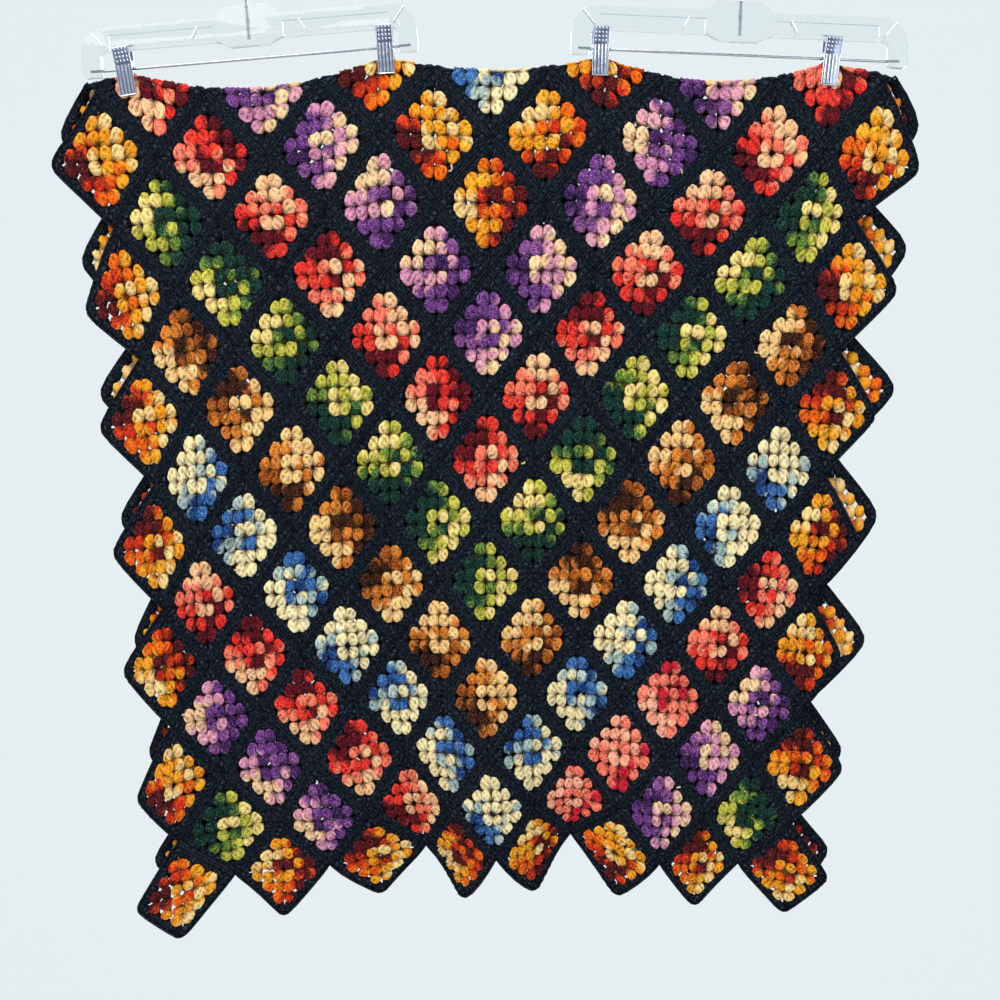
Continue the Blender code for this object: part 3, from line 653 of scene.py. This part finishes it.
# A black treble's width, height, lift and painted light at its foot, middle and top: painted
# shade at the foot, a painted highlight in the middle.
TREBLE_WIDE, TREBLE_HIGH = (0.036, 0.056, 0.05), (1.2, 2.2, 1.5)
TREBLE_LIFT, TREBLE_PAINTED_LIGHT = (-1.2, 0.2, -0.2), (0.3, 1.7, 0.8)
SEAM_AT, SEAM_END, SEAM_LOOPS = 0.970, 0.965, 9
SEAM_WIDE, SEAM_NARROW = 0.035, 0.027
SEAM_HIGH, SEAM_LOW, SEAM_LIFT, SEAM_RISE = 2.0, 1.3, 1.0, 0.3
# Painted light on a seam's loops: full loops lighter as painted highlight, the narrow ones between
# darker as painted shade.
SEAM_PAINTED_HIGHLIGHT, SEAM_PAINTED_SHADE = 1.3, 0.7
TREBLE_JITTER, TREBLE_SPREAD, TREBLE_UNEVEN = 0.012, 0.4, 0.3  # in place, shade and lift
SEAM_JITTER, SEAM_SPREAD, TINT = 0.006, 0.3, 0.05  # in place and shade, and in all black's tint


def black_net(material):
    """The solid black round of every square, joined into one net with a hole at each square."""
    bm = bmesh.new()
    found = {}
    rings = (NET_INSIDE, (NET_INSIDE + 1) / 2, 1.0)
    for number in range(len(SQUARES)):
        for side in range(4):
            corners = []
            for r in rings:
                p = r * np.sin(np.linspace(-0.5, 0.5, NET_STEPS + 1) * math.pi)
                u, v = turned(np.full_like(p, r), p, side)
                column, row = (a.ravel() for a in in_squares([number], u, v))
                line = []
                for spot, lay in zip(zip(column, row), hung(column, row) * MM):
                    key = (round(spot[0], 4), round(spot[1], 4))
                    if key not in found:
                        found[key] = bm.verts.new(lay)
                    line.append(found[key])
                corners.append(line)
            for inner, outer in zip(corners, corners[1:]):
                for k in range(NET_STEPS):
                    face = (inner[k], inner[k + 1], outer[k + 1], outer[k])
                    if len(set(face)) > 2:
                        bm.faces.new(dict.fromkeys(face))
    mesh = bpy.data.meshes.new("black_net")
    bm.to_mesh(mesh)
    bm.free()
    mesh.uv_layers.new(name="yarn")
    # The net is painted darker than the black yarn: painted shade under the stitches.
    net = of_yarn(mesh, np.broadcast_to(BLACK * NET_PAINTED_SHADE, (len(mesh.vertices), 3)), material)
    walls = net.modifiers.new("thickness", "SOLIDIFY")
    walls.thickness = NET_THICKNESS * MM
    walls.offset = 0.0
    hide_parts("blanket")
    return net


def black_dye(shape, spread):
    """Black yarn's colour, a little different in each strand."""
    tone = 1 + rng.uniform(-spread, spread, (*shape[:2], 1, 1))
    tint = 1 + rng.uniform(-TINT, TINT, (*shape[:2], 1, 3))
    return np.broadcast_to(BLACK * tone * tint, (*shape, 3))


def black_trebles(name, chosen, material):
    """The black round: a fence of trebles with their feet between the coloured clusters."""
    many = len(chosen)
    side = np.repeat(np.arange(4), BORDER_TREBLES)[None, :, None]
    top = np.tile(np.linspace(-BORDER_END, BORDER_END, BORDER_TREBLES), 4)[None, :, None]
    share = np.array((0.0, 0.5, 1.0))[None, None, :]
    foot = top * FOOT_SHARE
    foot_at = BORDER_FOOT + BORDER_WAVE * np.cos(math.pi * foot / STEP)
    shape = (many, side.shape[1], 3)
    jitter = rng.uniform(-TREBLE_JITTER, TREBLE_JITTER, shape)
    outward = foot_at + (BORDER_TOP - foot_at) * share + jitter
    u, v = turned(outward, foot + (top - foot) * share + jitter[..., ::-1], side)
    across, high = np.array(TREBLE_WIDE), np.array(TREBLE_HIGH)
    uneven = rng.uniform(-TREBLE_UNEVEN, TREBLE_UNEVEN, (*shape[:2], 1))
    lift = uneven + np.array(TREBLE_LIFT)
    even = np.arange(side.shape[1]) % 2 == 0
    made = []
    for half, section in ((even, RIDGED), (~even, UNDER)):
        # Painted light along each treble: a dark foot as painted shade, a light middle as painted
        # highlight.
        dye_and_shade = black_dye((many, half.sum(), 3), TREBLE_SPREAD) * np.array(TREBLE_PAINTED_LIGHT)[:, None]
        made.append(
            strands(chosen, u[:, half], v[:, half], lift[:, half], across, high, section, dye_and_shade)
        )
    return woven(name, made, material)


def seams(name, chosen, material):
    """The looped ridge along each side of a square; two of them lie along each join."""
    many, rings = len(chosen), 2 * SEAM_LOOPS + 1
    side = np.arange(4)[None, :, None]
    p = np.linspace(-SEAM_END, SEAM_END, rings)[None, None, :]
    full = np.arange(rings) % 2 == 1
    jitter = rng.uniform(-SEAM_JITTER, SEAM_JITTER, (many, 4, rings))
    u, v = turned(np.broadcast_to(SEAM_AT + jitter, (many, 4, rings)), p, side)
    across = np.where(full, SEAM_WIDE, SEAM_NARROW)
    high = np.where(full, SEAM_HIGH, SEAM_LOW)
    lift = SEAM_LIFT + np.where(full, SEAM_RISE, 0.0)
    dye_and_shade = black_dye((many, 4, rings), SEAM_SPREAD)
    # Painted highlight on the full loops, painted shade on the narrow ones.
    dye_and_shade = dye_and_shade * np.where(full, SEAM_PAINTED_HIGHLIGHT, SEAM_PAINTED_SHADE)[:, None]
    return woven(name, [strands(chosen, u, v, lift, across, high, RIDGED, dye_and_shade)], material)


TAILS = 22
TAIL_ROOT, TAIL_LENGTH = (0.70, 0.82), (0.08, 0.16)  # half sides
TAIL_WIDE, TAIL_HIGH = (0.018, 0.020, 0.020, 0.026), (0.7, 0.75, 0.75, 0.9)  # from root to end
TAIL_LIFT, TAIL_ARCH = 1.6, 1.0  # mm


def yarn_tails(material):
    """Short cut ends that stick out of the seams here and there."""
    chosen = rng.choice(len(SQUARES), TAILS, replace=False)
    side = rng.integers(0, 4, (TAILS, 1, 1))
    start = rng.uniform(-0.7, 0.7, (TAILS, 1, 1))
    length = rng.uniform(*TAIL_LENGTH, (TAILS, 1, 1))
    heading = rng.uniform(-1.2, 1.2, (TAILS, 1, 1))
    share = np.linspace(0, 1, 4)[None, None, :]
    bend = heading + share * rng.uniform(-2.2, 2.2, (TAILS, 1, 1))
    outward = rng.uniform(*TAIL_ROOT, (TAILS, 1, 1)) + length * share * np.cos(bend)
    u, v = turned(outward, start + length * share * np.sin(bend), side)
    lift = TAIL_LIFT + TAIL_ARCH * np.sin(share * 2.6)
    across, high = np.array(TAIL_WIDE), np.array(TAIL_HIGH)
    dye_and_shade = linear("#e6d3ad")
    return woven("yarn_tails", [strands(chosen, u, v, lift, across, high, ROUND, dye_and_shade)], material)


# ---------------- materials


def add_node(tree, kind, links=None, **settings):
    """A node with its settings, and values or other nodes' sockets on its inputs."""
    node = tree.nodes.new(kind)
    for name, value in settings.items():
        setattr(node, name, value)
    for socket, source in (links or {}).items():
        if isinstance(source, bpy.types.NodeSocket):
            tree.links.new(source, node.inputs[socket])
        else:
            node.inputs[socket].default_value = source
    return node


def new_material(name, **values):
    """A material with a Principled shader and values on the shader's own sockets."""
    made = bpy.data.materials.new(name)
    made.use_nodes = True
    shader = made.node_tree.nodes["Principled BSDF"]
    for socket, value in values.items():
        shader.inputs[socket.replace("_", " ")].default_value = value
    return made, made.node_tree, shader


def object_noise(tree, scale, detail):
    """A cloudy noise that stays with the part."""
    place = add_node(tree, "ShaderNodeTexCoord").outputs["Object"]
    links = {"Vector": place, "Scale": scale, "Detail": detail}
    return add_node(tree, "ShaderNodeTexNoise", links).outputs["Fac"]


NOISE_LOW, NOISE_HIGH = 0.35, 0.65  # where nearly all of a noise's values lie


def mapped(tree, noise, low, high):
    """The noise spread from low to high."""
    links = {"Value": noise, 1: NOISE_LOW, 2: NOISE_HIGH, 3: low, 4: high}
    return add_node(tree, "ShaderNodeMapRange", links).outputs["Result"]


def calculated(tree, operation, *values):
    """The outcome of a sum on values or other nodes' sockets."""
    return add_node(tree, "ShaderNodeMath", dict(enumerate(values)), operation=operation).outputs[0]


def add_bump(tree, shader, height, strength, depth_mm):
    links = {"Height": height, "Strength": strength, "Distance": depth_mm * MM}
    bump = add_node(tree, "ShaderNodeBump", links)
    tree.links.new(bump.outputs["Normal"], shader.inputs["Normal"])


PLY_MM = 3.2  # along the yarn, for a quarter turn of each ply
FIBRE_RELIEF = 1.6  # against 1 for the twist's ridges


def wool_yarn(name, sheen, gloss, fibre_mm, tones, relief_mm):
    """Four-ply wool: matt, a little fuzzy, with its twist as fine diagonal ridges.

    tones are how deep its colour is between the fibres and on them.
    """
    made, tree, shader = new_material(
        name,
        Roughness=0.88,
        Specular_IOR_Level=gloss,
        Sheen_Weight=sheen,
        Sheen_Roughness=0.6,
    )
    # The colour attribute holds the yarn's colour with painted light and shade in it.
    dye_and_shade = add_node(tree, "ShaderNodeAttribute", attribute_name="dye_and_shade")
    fibre = object_noise(tree, 1 / (fibre_mm * MM), 3.0)
    # Light that sinks between the fibres comes back deeper in colour, not greyer.
    depth = {"Color": dye_and_shade.outputs["Color"], "Gamma": mapped(tree, fibre, *tones)}
    shaded = add_node(tree, "ShaderNodeGamma", depth)
    tree.links.new(shaded.outputs["Color"], shader.inputs["Base Color"])
    strand = add_node(tree, "ShaderNodeUVMap", uv_map="yarn")
    parts = add_node(tree, "ShaderNodeSeparateXYZ", {"Vector": strand.outputs["UV"]})
    twist = calculated(tree, "MULTIPLY_ADD", parts.outputs["Y"], 1 / PLY_MM, parts.outputs["X"])
    ridge = calculated(tree, "SINE", calculated(tree, "MULTIPLY", twist, 4 * math.pi))
    height = calculated(tree, "MULTIPLY_ADD", fibre, FIBRE_RELIEF, ridge)
    add_bump(tree, shader, height, 0.7, relief_mm)
    return made


def clear_polystyrene():
    """Injection-moulded crystal polystyrene: clear and bright, with faint flow ripples."""
    made, tree, shader = new_material(
        "clear_polystyrene_moulded",
        Base_Color=(*linear("#f6faf9"), 1.0),
        Roughness=0.04,
        IOR=1.27,
        Transmission_Weight=1.0,
    )
    add_bump(tree, shader, object_noise(tree, 60.0, 2.0), 0.15, 1.0)
    return made


def plated_steel(name, colour, rough_low, rough_high, grain_mm):
    """Plated steel: bright, with the faint cloudy rubs of handling."""
    made, tree, shader = new_material(
        name, Base_Color=(*linear(colour), 1.0), Metallic=1.0, Roughness=rough_low
    )
    rubs = object_noise(tree, 1 / (grain_mm * MM), 4.0)
    tree.links.new(mapped(tree, rubs, rough_low, rough_high), shader.inputs["Roughness"])
    return made


# ---------------- hangers and clips


def only(piece):
    """Selects one piece alone and makes it active."""
    bpy.ops.object.select_all(action="DESELECT")
    piece.select_set(True)
    bpy.context.view_layer.objects.active = piece


def coat(piece, material):
    piece.data.materials.clear()
    piece.data.materials.append(material)


def finished(node, name, material, bevel_mm, segments=2, angle=32):
    """A copy of a node's solid with its edges eased and its round sides smooth."""
    piece = add_object(name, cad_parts[node].data.copy())
    only(piece)
    bpy.ops.object.mode_set(mode="EDIT")
    bpy.ops.mesh.select_all(action="SELECT")
    bpy.ops.mesh.remove_doubles(threshold=0.00001)
    bpy.ops.mesh.dissolve_limited(angle_limit=math.radians(1.0))
    bpy.ops.object.mode_set(mode="OBJECT")
    coat(piece, material)
    ease = piece.modifiers.new("eased edges", "BEVEL")
    ease.width = bevel_mm * MM
    ease.segments = segments
    ease.limit_method = "ANGLE"
    ease.angle_limit = math.radians(angle)
    ease.harden_normals = False
    only(piece)
    bpy.ops.object.modifier_apply(modifier=ease.name)
    bpy.ops.object.shade_smooth_by_angle(angle=math.radians(angle + 8))
    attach(piece, "root")
    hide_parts(node)


def joined(name, copies, material):
    """One object from copies of objects' meshes, each with its own matrix. The objects go."""
    parts = []
    for source, place in copies:
        part = add_object("part", source.data.copy())
        part.data.transform(place)
        parts.append(part)
    for source in {source for source, _ in copies}:
        bpy.data.objects.remove(source)
    only(parts[0])
    for part in parts:
        part.select_set(True)
    bpy.ops.object.join()
    made = bpy.context.active_object
    made.name = name
    coat(made, material)
    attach(made, "root")
    return made


def placed(x, z, lean):
    """The matrix of a hanger's or clip's own frame."""
    turn = Matrix.Rotation(-math.radians(lean), 4, "Y")
    return Matrix.Translation((x * MM, 0, z * MM)) @ turn


PRESSINGS, PRESSING_PITCH = 4, 3.7  # ribs, and columns of studs, across a jaw
RIB_RADIUS, RIB_SUNK, RIB_SPAN = 1.45, 0.75, (JAW_TIP + 1.9, 2.9)
STUD_SIZE, STUD_RISE, STUD_BEVEL, STUD_ROWS = 2.0, 0.6, 0.45, (7.2, 11.2, 15.2, 19.2)
RIM_RADIUS = 0.6


def jaw_surface(side, x, z):
    """A point of a jaw's outer face, in mm in the clip's own frame."""
    flare = JAW_FLARE * max(z - JAW_BEND, 0.0) / (JAW_TOP - JAW_BEND)
    return Vector((x, side * (JAW_INSIDE + JAW_THICKNESS + flare), z))


def eased(offset, thin=1.0):
    """The newest object, made thinner from front to back and with its edges cut back."""
    made = bpy.context.active_object
    bpy.ops.object.mode_set(mode="EDIT")
    bpy.ops.mesh.select_all(action="SELECT")
    bpy.ops.transform.resize(value=(1, thin, 1))
    bpy.ops.mesh.bevel(offset=offset, segments=1, affect="EDGES", clamp_overlap=True)
    bpy.ops.object.mode_set(mode="OBJECT")
    return made


def rounded_rod():
    """A rod 1 m long and 1 m in radius, to be stretched into ribs and rims."""
    bpy.ops.mesh.primitive_cylinder_add(vertices=12, radius=1.0, depth=1.0)
    return eased(0.03)


def stud():
    """One of the small pressed squares that give the thumb a grip."""
    bpy.ops.mesh.primitive_cube_add(size=STUD_SIZE * MM)
    return eased(STUD_BEVEL * MM, 2 * STUD_RISE / STUD_SIZE)


def stretched(start, end, radius):
    """Places the 1 m rod from start to end, in mm."""
    along = end - start
    turn = along.to_track_quat("Z", "Y").to_matrix().to_4x4()
    middle = Matrix.Translation((start + end) / 2 * MM)
    return middle @ turn @ Matrix.Diagonal((radius * MM, radius * MM, along.length * MM, 1))


def jaw_face(side, material, clip, matrix):
    """The rim, ribs and studs pressed into a jaw's outer face, as one piece."""
    rod, one_stud = rounded_rod(), stud()
    columns = [(k - (PRESSINGS - 1) / 2) * PRESSING_PITCH for k in range(PRESSINGS)]
    sunk = Vector((0, -RIB_SUNK * side, 0))
    copies = []
    for x in columns:
        start, end = (jaw_surface(side, x, z) + sunk for z in RIB_SPAN)
        copies.append((rod, matrix @ stretched(start, end, RIB_RADIUS)))
    reach = JAW_HALF_WIDTH - RIM_RADIUS
    foot, head = JAW_TIP + RIM_RADIUS, JAW_TOP - RIM_RADIUS
    corners = [(-reach, foot), (reach, foot), (reach, JAW_BEND), (reach, head)]
    corners += [(-reach, head), (-reach, JAW_BEND), (-reach, foot)]
    for first, last in zip(corners, corners[1:]):
        start, end = jaw_surface(side, *first), jaw_surface(side, *last)
        copies.append((rod, matrix @ stretched(start, end, RIM_RADIUS)))
    lean = math.atan2(JAW_FLARE, JAW_TOP - JAW_BEND) * side
    turn = Matrix.Rotation(-lean, 4, "X")
    for x in columns:
        for z in STUD_ROWS:
            place = Matrix.Translation(jaw_surface(side, x, z) * MM)
            copies.append((one_stud, matrix @ place @ turn))
    face = joined(f"{clip}_{'front' if side < 0 else 'back'}_pressings", copies, material)
    bpy.ops.object.shade_smooth_by_angle(angle=math.radians(60))


COIL_TURNS, COIL_RADIUS, COIL_WIRE = 9, 3.0, 0.55
COIL_STEPS, COIL_PITCH = 18, 2 * COIL_WIRE + 0.08
LEG_OUT, LEG_LOW = COIL_RADIUS + 0.2, 3.0  # where a leg leaves the coil


def spring(clip, material, matrix):
    """A torsion spring: a close coil round the bar, with a leg up behind each jaw."""
    half = COIL_TURNS * COIL_PITCH / 2
    leg_top = (JAW_BEND + JAW_TOP) / 2
    leg_out = JAW_INSIDE + JAW_FLARE / 2 - JAW_GAP - COIL_WIRE
    line = [(-half, -leg_out, leg_top), (-half, -LEG_OUT, LEG_LOW)]
    for k in range(COIL_TURNS * COIL_STEPS + 1):
        angle = math.pi - 2 * math.pi * k / COIL_STEPS
        x = -half + COIL_PITCH * k / COIL_STEPS
        line.append((x, COIL_RADIUS * math.cos(angle), COIL_RADIUS * math.sin(angle)))
    end_x, end_y, _ = line[-1]
    side = 1 if end_y > 0 else -1
    line += [(end_x, side * LEG_OUT, LEG_LOW), (end_x, side * leg_out, leg_top)]
    curve = bpy.data.curves.new("spring", "CURVE")
    curve.dimensions = "3D"
    curve.bevel_depth = COIL_WIRE * MM
    curve.bevel_resolution = 1
    curve.use_fill_caps = True
    spline = curve.splines.new("POLY")
    spline.points.add(len(line) - 1)
    for point, place in zip(spline.points, line):
        point.co = (*(Vector(place) * MM), 1)
    wire = add_object(f"{clip}_coil_spring", curve)
    only(wire)
    bpy.ops.object.convert(target="MESH")
    wire = bpy.context.active_object
    wire.data.transform(matrix)
    coat(wire, material)
    wire.data.shade_smooth()
    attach(wire, "root")
    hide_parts(f"{clip}_spring")


# Thin ribs across a hanger's groove: their ends, along and above the bar, on its right half.
MOULDED_RIBS = (((60.0, 26.0), (54.0, 37.5)), ((154.0, 26.0), (166.0, 41.0)))
RIB_HALF_WIDTH, RIB_OUT = 0.5, 4.7


def moulded_ribs(hanger, material):
    """The ribs that stiffen a hanger's groove and corners, each one through to the back."""
    bpy.ops.object.select_all(action="DESELECT")
    bpy.ops.mesh.primitive_cube_add(size=2.0)
    block = bpy.context.active_object
    copies = []
    for side in (-1, 1):
        for foot, head in MOULDED_RIBS:
            start, end = (Vector((side * along, 0, above)) for along, above in (foot, head))
            half = Matrix.Diagonal((RIB_HALF_WIDTH, RIB_OUT, (end - start).length / 2, 1))
            turn = Matrix.Rotation(math.atan2(end.x - start.x, end.z - start.z), 4, "Y")
            rib = Matrix.Scale(MM, 4) @ Matrix.Translation((start + end) / 2) @ turn @ half
            copies.append((block, placed(*HANGERS[hanger]) @ rib))
    # Their material is near-white: a painted highlight on clear ribs.
    ribs = joined(f"{hanger}_hanger_ribs", copies, material)


def make_hangers():
    clear = clear_polystyrene()
    zinc = plated_steel("zinc_plated_wire", "#a6abb3", 0.22, 0.42, 4.0)
    # The jaw plates' chrome is painted darker than its pressings of the same steel: painted shade
    # in the field between them.
    chrome = plated_steel("chrome_plated_spring_steel_painted_shade", "#8f98ae", 0.12, 0.3, 6.0)
    # The pressings' chrome is painted lighter: painted highlight on the raised rim, ribs and studs.
    highlit_chrome = plated_steel("chrome_painted_highlight", "#d0d7e2", 0.1, 0.22, 6.0)
    bright = plated_steel("chrome_plated_hook_wire", "#e4e8ec", 0.06, 0.16, 4.0)
    # The clear ribs are drawn near-white: a painted highlight where they catch the light.
    rib_highlight = new_material(
        "polystyrene_rib_painted_highlight",
        Base_Color=(*linear("#fbfdfd"), 1.0),
        Roughness=0.5,
        Transmission_Weight=0.15,
    )[0]
    for hanger in HANGERS:
        node = f"{hanger}_hanger"
        moulded_ribs(hanger, rib_highlight)
        finished(f"{node}_body", f"{node}_moulding", clear, 0.9, 3)
        finished(f"{node}_bar", f"{node}_rod", zinc, 0.3)
        finished(f"{node}_hook", f"{node}_wire", bright, 0.5, 3, 50)
    for clip, hanger, along, lean, _ in CLIPS:
        matrix = placed(*on_hanger(hanger, along), lean)
        for side, word in ((-1, "front"), (1, "back")):
            finished(f"{clip}_{word}_jaw", f"{clip}_{word}_plate", chrome, 0.3)
            jaw_face(side, highlit_chrome, clip, matrix)
        spring(clip, zinc, matrix)


# ---------------- blanket


def make_blanket():
    variegated = wool_yarn("variegated_wool_yarn", 0.02, 0.1, 1.4, (1.9, 0.65), 0.7)
    black = wool_yarn("black_wool_yarn", 0.0, 0.03, 2.2, (1.25, 0.8), 0.9)
    yarns = [yarn_of(int(i), int(j)) for i, j in SQUARES]
    for yarn in YARNS:
        chosen = np.array([k for k, name in enumerate(yarns) if name == yarn])
        coloured_squares(yarn, chosen, variegated)
    front = SQUARES[:, 1] >= 0
    for layer, shown in (("front", front), ("back", ~front)):
        chosen = np.flatnonzero(shown)
        black_trebles(f"black_trebles_{layer}", chosen, black)
        seams(f"black_seams_{layer}", chosen, black)
    yarn_tails(variegated)
    net = black_net(black)


# ---------------- stage


# Name, place and target in m, size in m, watts and colour.
SOFTBOXES = (
    ("key_softbox", (-1.2, -1.8, 2.0), (0, 0, -0.5), 2.4, 142, "#fff9f2"),
    ("fill_softbox", (1.9, -2.1, -0.55), (0, 0, -0.6), 2.0, 27, "#f2f8ff"),
    ("back_softbox", (0.6, 2.2, 1.2), (0, 0, -0.5), 2.4, 80, "#ffffff"),
)
FLOOR_PLACE, FLOOR_SIZE = (0, -1.9, -1.36), 5
# The room's brightness, from dim on the camera's side to bright behind the blanket.
ROOM_FRONT, ROOM_BACK = "#a4adba", "#e6eff1"
ROOM_BETWEEN = ((0.12, "#b0b9c3"), (0.32, "#c6ced4"), (0.5, "#dae3e6"))


def area_light(name, place, target, size, power, colour):
    light = bpy.data.lights.new(name, "AREA")
    light.shape, light.size, light.energy = "SQUARE", size, power
    light.color = linear(colour)
    made = add_object(name, light)
    made.visible_transmission = False  # clear plastic shows the room behind it, not the lamps
    made.location = place
    made.rotation_euler = (Vector(target) - Vector(place)).to_track_quat("-Z", "Y").to_euler()


def make_stage():
    """The pale floor and the lamps."""
    bpy.ops.object.select_all(action="DESELECT")
    bpy.ops.mesh.primitive_plane_add(size=FLOOR_SIZE, location=FLOOR_PLACE)
    floor = bpy.context.active_object
    floor.name = "studio_floor"
    painted = new_material(
        "matt_floor_paint", Base_Color=(*linear("#dfe4e4"), 1.0), Roughness=0.9
    )[0]
    floor.data.materials.append(painted)
    for softbox in SOFTBOXES:
        area_light(*softbox)


def make_room():
    """Plain light from all round, graded from front to back."""
    world = bpy.data.worlds.new("studio")
    bpy.context.scene.world = world
    world.use_nodes = True
    tree = world.node_tree
    sky = tree.nodes["Background"]
    place = add_node(tree, "ShaderNodeTexCoord")
    parts = add_node(tree, "ShaderNodeSeparateXYZ", {"Vector": place.outputs["Generated"]})
    share = calculated(tree, "MULTIPLY_ADD", parts.outputs["Y"], 0.5, 0.5)
    ramp = add_node(tree, "ShaderNodeValToRGB", {"Fac": share})
    stops = ramp.color_ramp.elements
    stops[0].color = (*linear(ROOM_FRONT), 1)
    stops[1].color = (*linear(ROOM_BACK), 1)
    for at, colour in ROOM_BETWEEN:
        stops.new(at).color = (*linear(colour), 1)
    tree.links.new(ramp.outputs["Color"], sky.inputs["Color"])
    sky.inputs["Strength"].default_value = 1.0


def make_camera():
    camera = bpy.data.cameras.new("camera")
    camera.sensor_width, camera.lens = 36.0, 45.0
    made = add_object("camera", camera)
    made.location = (0.0085, -1.325, -0.583)
    made.rotation_euler = (math.radians(90), 0, 0)
    bpy.context.scene.camera = made


make_camera()
make_stage()
make_room()
bpy.context.scene.view_settings.view_transform = "Standard"
make_hangers()
make_blanket()
